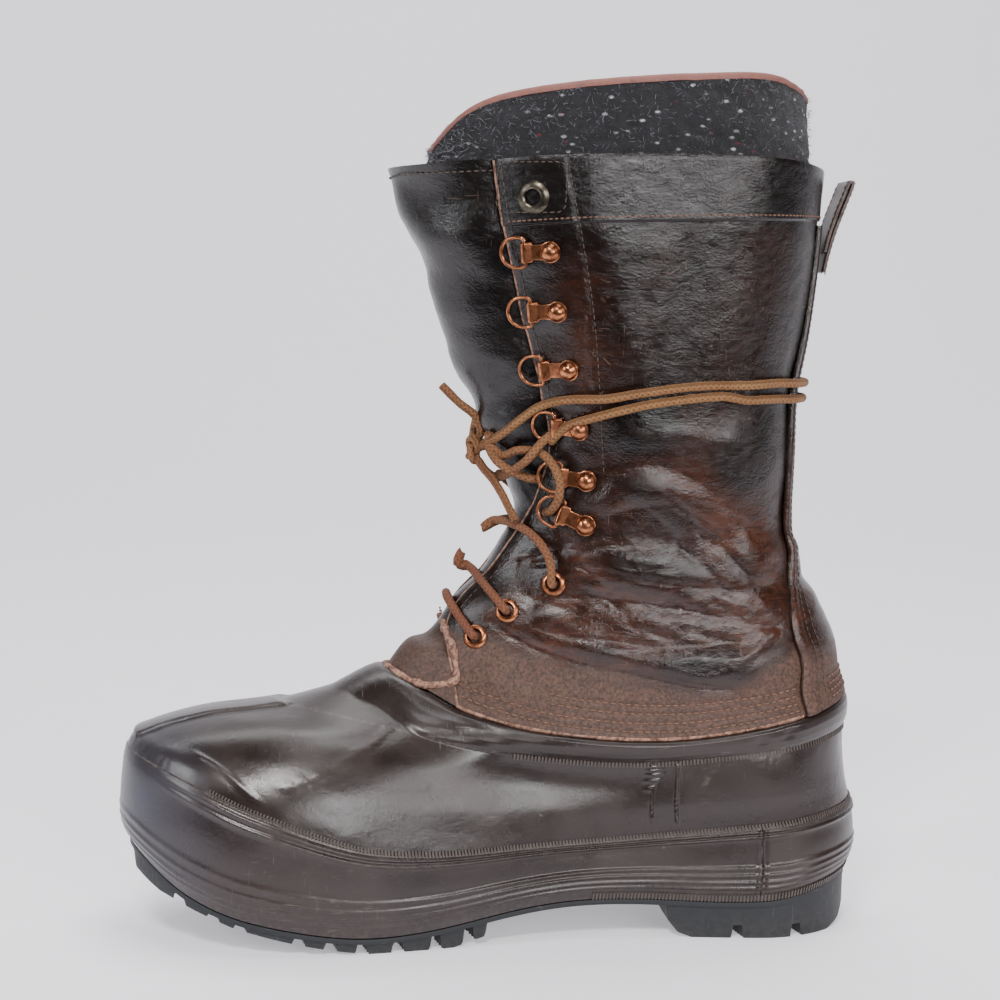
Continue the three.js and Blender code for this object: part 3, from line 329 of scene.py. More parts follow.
def make_piece(name, points, faces, material, layers=None, body=None, crease=40):
    """A closed mesh from points in millimetres, its faces turned out, with named layers of numbers."""
    mesh = bpy.data.meshes.new(name)
    mesh.from_pydata((np.asarray(points) * MM).tolist(), [], faces)
    for layer, values in (layers or {}).items():
        attribute = mesh.attributes.new(layer, "FLOAT", "POINT")
        attribute.data.foreach_set("value", np.asarray(values, dtype=np.float32).ravel())
    shape = bmesh.new()
    shape.from_mesh(mesh)
    bmesh.ops.recalc_face_normals(shape, faces=shape.faces)
    if shape.calc_volume(signed=True) < 0:
        bmesh.ops.reverse_faces(shape, faces=shape.faces)
    shape.to_mesh(mesh)
    shape.free()
    mesh.polygons.foreach_set("use_smooth", [True] * len(mesh.polygons))
    mesh.set_sharp_from_angle(angle=math.radians(crease))
    piece = into_scene(name, mesh)
    mesh.materials.append(material)
    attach(piece, body or ROOT)
    return piece


def wall_faces(outer, inner, closed, floor):
    """Faces of a wall between two grids of vertices (rows, columns), each with its own counts."""
    rows, columns = outer
    in_rows, in_columns = inner
    start = rows * columns
    ids = np.arange(start).reshape(outer)
    in_ids = (start + np.arange(in_rows * in_columns)).reshape(inner)
    faces = grid_faces(rows, columns, 0, closed) + grid_faces(in_rows, in_columns, start, closed)
    loop = (lambda row: row.tolist() + [int(row[0])]) if closed else (lambda row: row.tolist())
    faces += zip_faces(loop(ids[-1]), loop(in_ids[-1]))
    if floor:
        for grid in (ids, in_ids):
            count = grid.shape[1]
            for c in range(count // 2):
                a, b = (count - c) % count, count - c - 1
                corners = [int(grid[0, k]) for k in (c, c + 1, b, a)]
                faces.append(tuple(dict.fromkeys(corners)))
    else:
        faces += zip_faces(loop(ids[0]), loop(in_ids[0]))
    if not closed:
        faces += zip_faces(ids[:, 0].tolist(), in_ids[:, 0].tolist())
        faces += zip_faces(ids[:, -1].tolist(), in_ids[:, -1].tolist())
    return faces


def make_wall(name, outer, inner, material, layers=None, crease=50, closed=False, floor=False):
    """A piece between two grids of points; its layers belong to the outer one, and are 0 elsewhere."""
    points = np.concatenate([outer.reshape(-1, 3), inner.reshape(-1, 3)])
    faces = wall_faces(outer.shape[:2], inner.shape[:2], closed, floor)
    full = {key: np.concatenate([values.ravel(), np.zeros(len(points) - values.size)])
            for key, values in (layers or {}).items()}
    return make_piece(name, points, faces, material, full, crease=crease)


def tube(path, radius, sides=12, closed=False):
    """Points and faces of a round cord along a path; radius may be one number for each point."""
    path = np.asarray(path, float)
    count = len(path)
    radius = np.broadcast_to(radius, (count,))
    if closed:
        heading = unit(np.roll(path, -1, 0) - np.roll(path, 1, 0))
    else:
        heading = unit(np.gradient(path, axis=0))
    side = np.cross(heading[0], [0.0, 0.0, 1.0])
    if np.linalg.norm(side) < 0.1:
        side = np.cross(heading[0], [0.0, 1.0, 0.0])
    side = unit(side)
    sides_at = []
    for direction in heading:
        side = unit(side - direction * np.dot(side, direction))
        sides_at.append(side)
    across = np.array(sides_at)
    up = np.cross(heading, across)
    turn = np.linspace(0, 2 * math.pi, sides, endpoint=False)
    ring = across[:, None] * np.cos(turn)[None, :, None] + up[:, None] * np.sin(turn)[None, :, None]
    points = (path[:, None] + ring * radius[:, None, None]).reshape(-1, 3)
    layers = {
        "along": np.repeat(distances(path), sides),
        "round": np.tile(turn / (2 * math.pi), count),
    }
    return points, ring_faces(count, sides, closed), layers


def merge(parts):
    """Several (points, faces, layers) as one."""
    points, faces, layers, start = [], [], {}, 0
    for part_points, part_faces, part_layers in parts:
        points.append(part_points)
        faces += [tuple(int(k) + start for k in face) for face in part_faces]
        for key, values in part_layers.items():
            layers.setdefault(key, []).append(values)
        start += len(part_points)
    return np.concatenate(points), faces, {key: np.concatenate(v) for key, v in layers.items()}


ROOT = "boot"

# Shader nodes
def node(tree, kind, inputs=None, **settings):
    """A node of a tree; each input is a value, or another node's socket to link."""
    made = tree.nodes.new(kind)
    for key, value in settings.items():
        setattr(made, key, value)
    for key, value in (inputs or {}).items():
        socket = made.inputs[key]
        if isinstance(value, bpy.types.NodeSocket):
            tree.links.new(value, socket)
        else:
            socket.default_value = value
    return made


def maths(tree, operation, a, b=0.0):
    return node(tree, "ShaderNodeMath", {0: a, 1: b}, operation=operation).outputs[0]


def times(tree, a, b):
    return maths(tree, "MULTIPLY", a, b)


def plus(tree, a, b):
    return maths(tree, "ADD", a, b)


def remap(tree, value, low, high, to_low=0.0, to_high=1.0):
    made = node(tree, "ShaderNodeMapRange", {"Value": value, "From Min": low, "From Max": high,
                "To Min": to_low, "To Max": to_high}, interpolation_type="SMOOTHSTEP")
    return made.outputs["Result"]


def blend(tree, share, one, other):
    """Colour one where share is 0, the other where it is 1."""
    colour = lambda c: c if isinstance(c, bpy.types.NodeSocket) else (*c, 1.0)
    made = node(tree, "ShaderNodeMix", {0: share, 6: colour(one), 7: colour(other)}, data_type="RGBA")
    return made.outputs[2]


def speckle(tree, size, detail=3.0, rough=0.55, stretch=(1, 1, 1), warp=0.0):
    """Noise over the object's own coordinates; size in millimetres."""
    place = node(tree, "ShaderNodeTexCoord").outputs["Object"]
    place = node(tree, "ShaderNodeMapping", {"Vector": place, "Scale": stretch}).outputs[0]
    made = node(tree, "ShaderNodeTexNoise", {"Vector": place, "Scale": 1000.0 / size, "Detail": detail,
                "Roughness": rough, "Distortion": warp})
    return made.outputs["Fac"]


def attribute(tree, name):
    return node(tree, "ShaderNodeAttribute", attribute_name=name).outputs["Fac"]


def effect(name, inputs, outputs, build):
    """A shader node group with named number inputs and named outputs."""
    tree = bpy.data.node_groups.new(name, "ShaderNodeTree")
    for key, value in inputs.items():
        socket = tree.interface.new_socket(key, in_out="INPUT", socket_type="NodeSocketFloat")
        socket.default_value = value
    for key in outputs:
        tree.interface.new_socket(key, in_out="OUTPUT", socket_type="NodeSocketFloat")
    entry = tree.nodes.new("NodeGroupInput")
    leave = tree.nodes.new("NodeGroupOutput")
    for key, socket in build(tree, entry.outputs).items():
        tree.links.new(socket, leave.inputs[key])
    return tree


def use(tree, group, **inputs):
    return node(tree, "ShaderNodeGroup", inputs, node_tree=group).outputs


def build_scuffs(tree, given):
    """Fine scratches that lie at all angles, gathered in patches."""
    place = node(tree, "ShaderNodeTexCoord").outputs["Object"]
    lines = None
    for turn, stretch in ((0.5, (1, 1, 14)), (-0.7, (12, 1, 1)), (1.4, (1, 12, 1.5))):
        spun = node(tree, "ShaderNodeMapping", {"Vector": place, "Rotation": (turn, turn * 0.6, turn),
                    "Scale": stretch}).outputs[0]
        fine = node(tree, "ShaderNodeTexNoise", {"Vector": spun, "Scale": 90.0, "Detail": 2.0,
                    "Roughness": 0.7}).outputs["Fac"]
        line = remap(tree, fine, 0.66, 0.74)
        lines = line if lines is None else maths(tree, "MAXIMUM", lines, line)
    wide = node(tree, "ShaderNodeTexNoise", {"Vector": place, "Scale": 22.0, "Detail": 3.0})
    patch = remap(tree, wide.outputs["Fac"], 0.42, 0.66)
    return {"Mask": times(tree, times(tree, lines, patch), given["Amount"])}


def build_grain(tree, given):
    """Pebbled skin: cells over softer lumps."""
    place = node(tree, "ShaderNodeTexCoord").outputs["Object"]
    cells = node(tree, "ShaderNodeTexVoronoi", {"Vector": place, "Scale": given["Scale"],
                 "Randomness": 1.0}).outputs["Distance"]
    lumps = node(tree, "ShaderNodeTexNoise", {"Vector": place, "Scale": times(tree, given["Scale"], 0.35),
                 "Detail": 5.0, "Roughness": 0.62}).outputs["Fac"]
    return {"Height": plus(tree, times(tree, cells, 0.45), times(tree, lumps, 0.8))}


SCUFFS = effect("scuffs", {"Amount": 1.0}, ["Mask"], build_scuffs)
GRAIN = effect("grain", {"Scale": 900.0}, ["Height"], build_grain)


def finish_material(name, slot_name, build, roughness=0.5, metallic=0.0, **shader):
    """A material whose build function gives the sockets of its colour, roughness and bump."""
    material = bpy.data.materials.new(name)
    material.use_nodes = True
    tree = material.node_tree
    skin = tree.nodes["Principled BSDF"]
    skin.inputs["Roughness"].default_value = roughness
    skin.inputs["Metallic"].default_value = metallic
    for key, value in shader.items():
        skin.inputs[key.replace("_", " ")].default_value = value
    made = build(tree)
    tree.links.new(made["colour"], skin.inputs["Base Color"])
    if "roughness" in made:
        tree.links.new(made["roughness"], skin.inputs["Roughness"])
    if "height" in made:
        relief = node(tree, "ShaderNodeBump", {"Height": made["height"],
                      "Distance": made.get("depth", 0.0004), "Strength": made.get("strength", 0.5)})
        tree.links.new(relief.outputs[0], skin.inputs["Normal"])
    material["slot"] = slot_name
    return material


# Colours of the finishes, in linear light
OIL_BLACK = (0.0032, 0.0019, 0.0017)
OIL_BROWN = (0.0100, 0.0046, 0.0032)
# Near black, for the leather's darker places and for the painted shade in its creases
OIL_DARK_AND_CREASE_SHADE = (0.0045, 0.0034, 0.0032)
RUBBED_RED = (0.068, 0.0225, 0.0115)
NUBUCK_DARK = (0.020, 0.0095, 0.0062)
NUBUCK_PALE = (0.125, 0.061, 0.039)
LEATHER_SCRATCH = (0.10, 0.058, 0.042)
RAW_BROWN = (0.085, 0.035, 0.022)
RAW_PALE = (0.40, 0.225, 0.155)
RUBBER_DARK = (0.0128, 0.0074, 0.0063)
RUBBER_WARM = (0.0225, 0.0132, 0.0110)
# Bluish grey of the painted highlight on the rubber's toe
RUBBER_SHEEN_BLUE = (0.045, 0.056, 0.085)
RUBBER_DUST = (0.135, 0.105, 0.088)
RUBBER_SCRATCH = (0.115, 0.092, 0.08)
TEETH_DARK = (0.022, 0.015, 0.012)
TEETH_PALE = (0.085, 0.066, 0.055)
SOLE_BLACK = (0.0042, 0.0052, 0.0066)
SOLE_GREY = (0.0092, 0.0112, 0.0138)
SOLE_DUST = (0.12, 0.11, 0.10)
SOLE_SCRATCH = (0.10, 0.10, 0.10)
FELT_BLACK = (0.0040, 0.0036, 0.0050)
FELT_CHARCOAL = (0.0125, 0.0118, 0.0165)
FELT_GREY = (0.075, 0.072, 0.09)
FLECK_PALE = (0.66, 0.66, 0.70)
FLECK_RED = (0.22, 0.02, 0.03)
FIBRE_DARK = (0.03, 0.033, 0.045)
FIBRE_PALE = (0.30, 0.30, 0.34)
BINDING_ROSE = (0.15, 0.052, 0.040)
BINDING_PALE = (0.30, 0.125, 0.098)
RUST_DARK = (0.075, 0.034, 0.02)
RUST_PALE = (0.235, 0.125, 0.08)
THREAD_BLACK = (0.018, 0.012, 0.010)
THREAD_BROWN = (0.10, 0.068, 0.052)
LACE_TAN = ((0.215, 0.096, 0.032), (0.33, 0.165, 0.062))
LACE_RUDDY = ((0.135, 0.038, 0.018), (0.21, 0.068, 0.032))
LACE_SHADE = (0.06, 0.025, 0.01)
LACE_FIBRE = (0.42, 0.26, 0.14)


def leather_look(tree):
    """Oil-dark leather that has worn red-brown on its creases, with painted shade down their middles, and
    nubuck-brown along its hem.
    """
    worn, hem, dark = (attribute(tree, key) for key in ("worn", "hem", "dark"))
    cloud = speckle(tree, 30, 4, 0.6, warp=0.6)
    fine = speckle(tree, 1.3, 5, 0.75)
    streak = speckle(tree, 6, 6, 0.72, stretch=(0.5, 0.5, 1.6), warp=1.2)
    base = blend(tree, remap(tree, cloud, 0.32, 0.72), OIL_BLACK, OIL_BROWN)
    rubbed = times(tree, worn, remap(tree, streak, 0.32, 0.66, 0.25, 1.0))
    base = blend(tree, rubbed, base, RUBBED_RED)
    nubuck = blend(tree, remap(tree, fine, 0.3, 0.7), NUBUCK_DARK, NUBUCK_PALE)
    base = blend(tree, times(tree, hem, remap(tree, streak, 0.25, 0.6, 0.62, 1.0)), base, nubuck)
    # The dark layer: darker leather at the cuff and above, and painted shade in the creases
    base = blend(tree, times(tree, dark, 0.8), base, OIL_DARK_AND_CREASE_SHADE)
    marks = use(tree, SCUFFS, Amount=0.6)["Mask"]
    base = blend(tree, marks, base, LEATHER_SCRATCH)
    rough = plus(tree, remap(tree, cloud, 0.25, 0.75, 0.17, 0.30), times(tree, hem, 0.40))
    rough = plus(tree, rough, times(tree, marks, 0.2))
    pores = use(tree, GRAIN, Scale=1150.0)["Height"]
    wrinkles = speckle(tree, 4.5, 6, 0.7, stretch=(0.8, 0.8, 1.25), warp=1.4)
    height = plus(tree, times(tree, pores, 0.5), times(tree, wrinkles, 0.9))
    return {"colour": base, "roughness": rough, "height": height, "depth": 0.0005, "strength": 0.55}


def raw_edge_look(tree):
    fine = speckle(tree, 3.4, 5, 0.75, warp=0.8)
    base = blend(tree, remap(tree, fine, 0.36, 0.62), RAW_BROWN, RAW_PALE)
    return {"colour": base, "height": fine, "depth": 0.0009, "strength": 0.9}


def rubber_look(tree):
    """Warm dark moulded rubber with a painted bluish highlight on its toe, dust in its relief and light
    scratches.
    """
    cloud = speckle(tree, 42, 4, 0.6, warp=0.4)
    fine = speckle(tree, 2.4, 6, 0.7)
    base = blend(tree, remap(tree, cloud, 0.3, 0.7), RUBBER_DARK, RUBBER_WARM)
    # Painted highlight: bluish grey over the toe and a spot at its front
    base = blend(tree, times(tree, attribute(tree, "toe_sheen"), 0.5), base, RUBBER_SHEEN_BLUE)
    dust = times(tree, attribute(tree, "dust"), remap(tree, fine, 0.4, 0.66))
    base = blend(tree, times(tree, dust, 0.55), base, RUBBER_DUST)
    marks = use(tree, SCUFFS, Amount=0.55)["Mask"]
    base = blend(tree, marks, base, RUBBER_SCRATCH)
    rough = plus(tree, remap(tree, cloud, 0.25, 0.75, 0.23, 0.36), times(tree, marks, 0.25))
    height = plus(tree, fine, times(tree, speckle(tree, 12, 3, 0.6), 1.5))
    return {"colour": base, "roughness": rough, "height": height, "depth": 0.0003, "strength": 0.32}


def sole_look(tree):
    fine = speckle(tree, 3, 5, 0.7)
    dust = times(tree, attribute(tree, "dust"), remap(tree, fine, 0.38, 0.62))
    base = blend(tree, speckle(tree, 26, 3), SOLE_BLACK, SOLE_GREY)
    base = blend(tree, times(tree, dust, 0.6), base, SOLE_DUST)
    marks = use(tree, SCUFFS, Amount=0.4)["Mask"]
    base = blend(tree, marks, base, SOLE_SCRATCH)
    return {"colour": base, "height": fine, "depth": 0.0004, "strength": 0.4}


def felt_look(tree):
    """Charcoal felt with pale and a few red flecks."""
    place = node(tree, "ShaderNodeTexCoord").outputs["Object"]
    tangle = node(tree, "ShaderNodeTexNoise", {"Vector": place, "Scale": 900.0, "Detail": 6.0,
                  "Roughness": 0.75, "Distortion": 1.2}).outputs["Fac"]
    lump = speckle(tree, 5, 4, 0.65, warp=0.8)
    base = blend(tree, remap(tree, lump, 0.36, 0.68), FELT_BLACK, FELT_CHARCOAL)
    base = blend(tree, remap(tree, tangle, 0.56, 0.74, 0.0, 0.5), base, FELT_GREY)
    turned = node(tree, "ShaderNodeMapping", {"Vector": place, "Scale": (1, 1, 1.9),
                  "Rotation": (0.3, 0.6, 0.2)}).outputs[0]
    flecks = node(tree, "ShaderNodeTexVoronoi", {"Vector": turned, "Scale": 210.0, "Randomness": 1.0})
    pick = node(tree, "ShaderNodeSeparateColor", {"Color": flecks.outputs["Color"]})
    near = remap(tree, flecks.outputs["Distance"], 0.34, 0.12)
    pale = times(tree, near, remap(tree, pick.outputs["Red"], 0.74, 0.82))
    red = times(tree, near, remap(tree, pick.outputs["Green"], 0.93, 0.95))
    broken = remap(tree, tangle, 0.38, 0.55)
    base = blend(tree, times(tree, times(tree, pale, broken), 0.8), base, FLECK_PALE)
    base = blend(tree, times(tree, times(tree, red, broken), 0.7), base, FLECK_RED)
    height = plus(tree, tangle, times(tree, lump, 1.6))
    return {"colour": base, "height": height, "depth": 0.0011, "strength": 0.9}


def two_tone(tree, size, detail, one, other):
    return {"colour": blend(tree, speckle(tree, size, detail), one, other)}


def binding_look(tree):
    fine = speckle(tree, 2.2, 5, 0.7)
    return {"colour": blend(tree, fine, BINDING_ROSE, BINDING_PALE), "height": fine, "strength": 0.4}


def lace_look(tree):
    """Braided round lace, whose strands wind both ways along it and which reddens with wear."""
    turns = times(tree, attribute(tree, "round"), 4.0)
    steps = times(tree, attribute(tree, "along"), 0.42)
    one = maths(tree, "SINE", times(tree, plus(tree, steps, turns), 2 * math.pi))
    other = maths(tree, "SINE", times(tree, maths(tree, "SUBTRACT", steps, turns), 2 * math.pi))
    braid = maths(tree, "MAXIMUM", one, other)
    fibre = speckle(tree, 0.9, 4, 0.7)
    tan = blend(tree, speckle(tree, 9, 3), *LACE_TAN)
    ruddy = blend(tree, speckle(tree, 9, 3), *LACE_RUDDY)
    base = blend(tree, attribute(tree, "ruddy"), tan, ruddy)
    base = blend(tree, remap(tree, braid, -0.2, 0.9, 0.38, 0.0), base, LACE_SHADE)
    base = blend(tree, remap(tree, fibre, 0.6, 0.75, 0.0, 0.45), base, LACE_FIBRE)
    return {"colour": base, "height": plus(tree, braid, fibre), "depth": 0.00045, "strength": 0.75}


def metal_look(bright, dull, spot):
    """Metal that is bright in places and dull in others, with small dark spots."""
    def build(tree):
        cloud = speckle(tree, 3.5, 4, 0.7)
        base = blend(tree, remap(tree, cloud, 0.35, 0.7), bright, dull)
        base = blend(tree, remap(tree, speckle(tree, 1.4, 4, 0.7), 0.62, 0.74, 0.0, 0.8), base, spot)
        return {"colour": base, "roughness": remap(tree, cloud, 0.3, 0.7, 0.2, 0.42),
                "height": speckle(tree, 1.0, 3), "depth": 0.0001, "strength": 0.3}
    return build


LEATHER_SKIN = finish_material("oiled_leather", "leather", leather_look, Specular_IOR_Level=0.5)
RAW_EDGE = finish_material("raw_leather_edge", "leather", raw_edge_look, roughness=0.8)
RUBBER_SKIN = finish_material("moulded_rubber", "shell_rubber", rubber_look, Specular_IOR_Level=0.55)
SOLE_SKIN = finish_material("sole_rubber", "sole_rubber", sole_look, roughness=0.58)
FELT_SKIN = finish_material("flecked_felt", "felt", felt_look, roughness=0.95, Sheen_Weight=0.12,
                            Sheen_Roughness=0.6)
FUZZ = finish_material("felt_fuzz", "felt", lambda tree: two_tone(tree, 6, 2, FIBRE_DARK, FIBRE_PALE),
                       roughness=0.95)
BINDING = finish_material("liner_binding", "felt", binding_look, roughness=0.65)
THREAD = finish_material("rust_thread", "leather", lambda tree: two_tone(tree, 7, 3, RUST_DARK, RUST_PALE),
                         roughness=0.7)
DARK_THREAD = finish_material("dark_thread", "leather",
                              lambda tree: two_tone(tree, 7, 3, THREAD_BLACK, THREAD_BROWN), roughness=0.6)
RUBBER_TEETH = finish_material("moulded_teeth", "shell_rubber",
                               lambda tree: two_tone(tree, 5, 4, TEETH_DARK, TEETH_PALE), roughness=0.5)
LACE_SKIN = finish_material("braided_lace", "lace", lace_look, roughness=0.8)
COPPER = finish_material("worn_copper", "copper", metal_look((0.50, 0.195, 0.088), (0.17, 0.064, 0.036),
                         (0.06, 0.025, 0.018)), metallic=1.0, roughness=0.28)
BRASS = finish_material("dark_brass", "dark_brass", metal_look((0.13, 0.11, 0.082), (0.05, 0.044, 0.036),
                        (0.02, 0.018, 0.016)), metallic=1.0, roughness=0.35)

# Camera: the photo's angle, a little to the toe side and above, rolled as the photo is
AIM = Vector((-0.114, 0.0, 0.1835))
DISTANCE = 0.95
AZIMUTH = math.radians(-6)
ELEVATION = math.radians(5)
ROLL = math.radians(1.1)
LENS = 79
camera = into_scene("camera", bpy.data.cameras.new("camera"))
away = Vector((math.sin(AZIMUTH) * math.cos(ELEVATION), -math.cos(AZIMUTH) * math.cos(ELEVATION),
               math.sin(ELEVATION)))
camera.location = AIM + away * DISTANCE
level_view = away.to_track_quat("Z", "Y").to_matrix()
camera.rotation_euler = (level_view @ Matrix.Rotation(ROLL, 3, "Z")).to_euler()
camera.data.lens = LENS
camera.data.clip_start = 0.05
bpy.context.scene.camera = camera

# The tongue's surface, which the lace lies on: level, reach behind the quarter's edge, inset, and then
# the foremost point (x and z) where the tongue stands before the form.
TONGUE = [
    (6.07, -2.5, 0, None, None), (7, -2.5, 0, None, None), (7.5, -2.5, 3.6, None, None),
    (8, 6, 3.6, None, None), (9, 13, 3.1, None, None), (10, 13, 3.1, None, None),
    (11, 13, 3.1, None, None), (12, 13, 3.1, None, None), (13, 13, 3, -111, 191),
    (14, 13, 3, -121, 211), (15, 13, 3, -132, 237), (16, 13, 3, -142, 262),
    (17, 13, 3, -152.5, 290), (18, 13, 3, -157.5, 303), (19, 13, 3, -165, 324),
]
TONGUE_WING = 10
TONGUE_FRONT = 36
TONGUE_ROWS = 180


def tongue_row(row, wall):
    """One row of the tongue's points from its medial edge to its lateral edge, sunk by a wall."""
    level, reach, inset, front, height = row
    edge = float(section_at(FORM, np.array(float(level)))[EDGE])
    halves = []
    for sign in (1, -1):
        xs = edge + reach + (-0.01 - reach) * np.linspace(0, 1, TONGUE_WING + 1)
        angles = sign * angle_at(FORM, np.full(len(xs), float(level)), xs)
        wing = offset_on(FORM, level, angles, -inset - wall)
        share = np.arange(1, TONGUE_FRONT + 1) / TONGUE_FRONT
        if front is None:
            start = angle_at(FORM, np.array(float(level)), edge - 0.01)
            ahead = offset_on(FORM, level, sign * (start + (math.pi - start) * share), -inset - wall)
        else:
            turn = share * math.pi / 2
            bend = wing[-1]
            tip = np.array([front + wall, centre_line(front), height])
            ahead = np.stack([
                bend[0] + (tip[0] - bend[0]) * np.sin(turn),
                tip[1] + (bend[1] - tip[1]) * np.cos(turn),
                bend[2] + (tip[2] - bend[2]) * np.sin(turn),
            ], -1)
        halves.append(np.concatenate([wing, ahead]))
    return np.concatenate([halves[0], halves[1][::-1][1:]])


def tongue_grid(rows, wall=0.0):
    coarse = np.array([tongue_row(row, wall) for row in TONGUE])
    even = np.linspace(0, len(TONGUE) - 1, rows)
    return section_at(coarse.reshape(len(TONGUE), -1), even).reshape(rows, -1, 3)


def grid_normals(grid):
    """Normals of an open grid of points whose rows climb and columns run round."""
    return unit(np.cross(np.gradient(grid, axis=0), np.gradient(grid, axis=1)))


TONGUE_SKIN = tongue_grid(TONGUE_ROWS)
TONGUE_OUT = grid_normals(TONGUE_SKIN)
if TONGUE_OUT[TONGUE_ROWS * 2 // 3, TONGUE_SKIN.shape[1] // 2, 0] > 0:
    TONGUE_OUT = -TONGUE_OUT


def quarter_edge(z):
    """Where the quarter's front edge is, at a height."""
    level = solve(lambda v: section_at(FORM, v)[..., HEIGHTS + 3] - z, COLLAR, TOP, np.shape(z))
    return section_at(FORM, level)[..., EDGE]


def lie(x, z, sign, lift):
    """A point on the shaft or the tongue, seen from the side at x and z, raised by lift."""
    if x > quarter_edge(np.array(float(z))) + 1:
        place, normal = spot_on(x, z, sign)
        return place + normal * lift
    middle = TONGUE_SKIN.shape[1] // 2
    half = slice(0, middle + 1) if sign > 0 else slice(middle, None)
    skin, out = TONGUE_SKIN[:, half].reshape(-1, 3), TONGUE_OUT[:, half].reshape(-1, 3)
    nearest = np.argmin((skin[:, 0] - x) ** 2 + (skin[:, 2] - z) ** 2)
    point = skin[nearest] + out[nearest] * lift
    ahead = min(0.0, x - skin[nearest, 0])
    return point + np.array([ahead, 0, 0])


def laid(route, sign, lift):
    """A drawn side route laid on the boot; lift is one number, or one for each point."""
    lifts = np.broadcast_to(lift, (len(route),))
    return [lie(x, z, sign, up) for (x, z), up in zip(route, lifts)]


# Places of the fittings on each side
EYELETS = {"low": (-126, 127.5), "mid": (-113, 139), "high": (-94, 151)}
GROMMET = (-107.5, 311.5)
HOOKS = [
    ((-109.4, 289.5), (-100, 289.6)), ((-105.7, 265.3), (-96, 265.4)), ((-99.9, 241.4), (-90.2, 241.5)),
    ((-93.6, 217.5), (-84.7, 216.5)), ((-90.6, 196), (-80.9, 195)), ((-90.5, 180.3), (-81, 176.2)),
]
SIDES = {"medial": 1, "lateral": -1}
CLIP_EYE = 1.9
EASE = 0.8
CUFF_RISE = 1.0

# The lace
LACE = 1.9
KNOT_LACE = 1.55
END_LACE = 1.8
KNOT = np.array([-126.5, -4.0, 205.5])
# Side routes from each eyelet to the front, and the foremost point there.
BARS = {
    "low": ([(-129.6, 133.5), (-133.2, 139.5)], (-137.0, 143.5)),
    "mid": ([(-118.5, 146.2), (-124.5, 154.0), (-128.8, 159.0)], (-130.5, 161.5)),
    "high": ([(-94.2, 160.4), (-98.4, 168.4), (-104.9, 173.0), (-113.0, 174.0)], (-121.5, 171.5)),
}
BAR_RUDDY = {"low": 1, "mid": 0.85, "high": 0.55}
# Heights of the two turns round the shaft, by how far ahead of the origin they are.
WRAP_XS = np.array([-16, 4, 36, 64, 88, 104, 116, 130])
WRAP_HEIGHTS = {
    "upper": [237.6, 237.4, 235, 232.4, 232, 231, 224.6, 214],
    "lower": [230.6, 230.6, 229.6, 227.6, 227.8, 226.5, 219, 209],
}
WRAP_STARTS = {
    "upper": [(-122.5, 206.5), (-114.4, 214.5), (-104.1, 222.8), (-98.4, 227.0), (-89.7, 229.5),
              (-75.2, 230.2), (-63.7, 232.3), (-39.9, 235.7)],
    "lower": [(-94.5, 211.5), (-91.5, 215.6), (-87.8, 219.1), (-78.0, 222.7), (-68.2, 225.6),
              (-55.0, 228.6), (-28.3, 231.8)],
}
# Strands of the tangle before the throat: side, drawn route and its lifts.
TANGLE = [
    (1, [(-97.8, 180.6), (-93.2, 182.4), (-89.6, 188.0), (-89.1, 195.3), (-92.1, 202.7), (-99.6, 207.4),
         (-107.0, 208.6), (-112.6, 204.8), (-117.5, 208.6), (-122.5, 206.8)],
     [-1.5, 3.4, 6.5, 7.2, 6.6, 5.6, 5.0, 3.4, 3.2, 3.4]),
    (1, [(-121.5, 199.5), (-117.6, 195.0), (-112.4, 195.6), (-103.7, 203.6), (-95.8, 212.2),
         (-93.0, 216.4)], [3.0, 3.2, 4.4, 8.6, 5.2, -1.2]),
    (1, [(-97.2, 195.1), (-101.6, 195.6), (-106.6, 198.2), (-112.2, 203.6), (-117.6, 209.6),
         (-118.6, 214.4)], [-1.4, 3.4, 4.6, 6.8, 3.6, 2.6]),
    (-1, [(-96.6, 181.8), (-100.8, 185.4), (-106.8, 191.4), (-111.6, 195.8)], [-1.4, 3.2, 4.0, 3.0]),
    (-1, [(-97.4, 195.8), (-102.4, 199.2), (-109.6, 205.2), (-116.6, 208.4)], [-1.4, 3.2, 4.4, 3.2]),
    (-1, [(-99.8, 216.6), (-104.6, 214.2), (-112.6, 210.6), (-119.6, 208.4)], [-1.4, 3.2, 4.2, 3.2]),
]
END_UP = [(-125.6, -5.0, 208.6), (-123.4, -5.6, 213.2), (-126.1, -6.4, 220.1), (-133.2, -8.2, 225.7),
          (-140.9, -10.0, 233.1)]
END_DOWN = [(-125.4, -6.0, 202.6), (-122.6, -8.4, 198.2), (-118.6, -12.6, 193.4), (-115.0, -16.2, 187.6),
            (-112.0, -20.0, 181.4), (-109.6, -23.2, 176.6)]


def lace_piece(name, routes, node_names, ruddy, radius=LACE, closed=False):
    """One piece of lace along one or more routes, with the last route's even path."""
    parts = []
    for route in routes:
        steps = max(16, int(np.linalg.norm(np.diff(route, axis=0), axis=1).sum() / 1.3))
        path = route if closed else smooth_line(route, steps)
        wobble = radius * (1 + 0.05 * noise(np.asarray(path), 3.1, 5))
        points, faces, layers = tube(path, wobble, 10, closed)
        layers["ruddy"] = clamp(ruddy + 0.25 * noise(points, 14, 6), 0, 1)
        parts.append((points, faces, layers))
    points, faces, layers = merge(parts)
    piece = make_piece(name, points, faces, LACE_SKIN, layers)
    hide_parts(*node_names)
    return piece, path


def tie_bars():
    """The three short laces that cross the throat from eyelet to eyelet."""
    for name, (route, apex) in BARS.items():
        halves = []
        for sign in (1, -1):
            place, normal = spot_on(*EYELETS[name], sign)
            rise = [place - normal * 1.6, place + normal * 1.2, place + normal * 3.8]
            halves.append(rise + laid(route, sign, 4.2 + 0.6 * sign))
        front = np.array([apex[0], centre_line(apex[0]), apex[1]])
        route = np.array(halves[0] + [front] + halves[1][::-1])
        lace_piece(f"bar_{name}", [route], [f"lace_bar_{name}"], BAR_RUDDY[name])


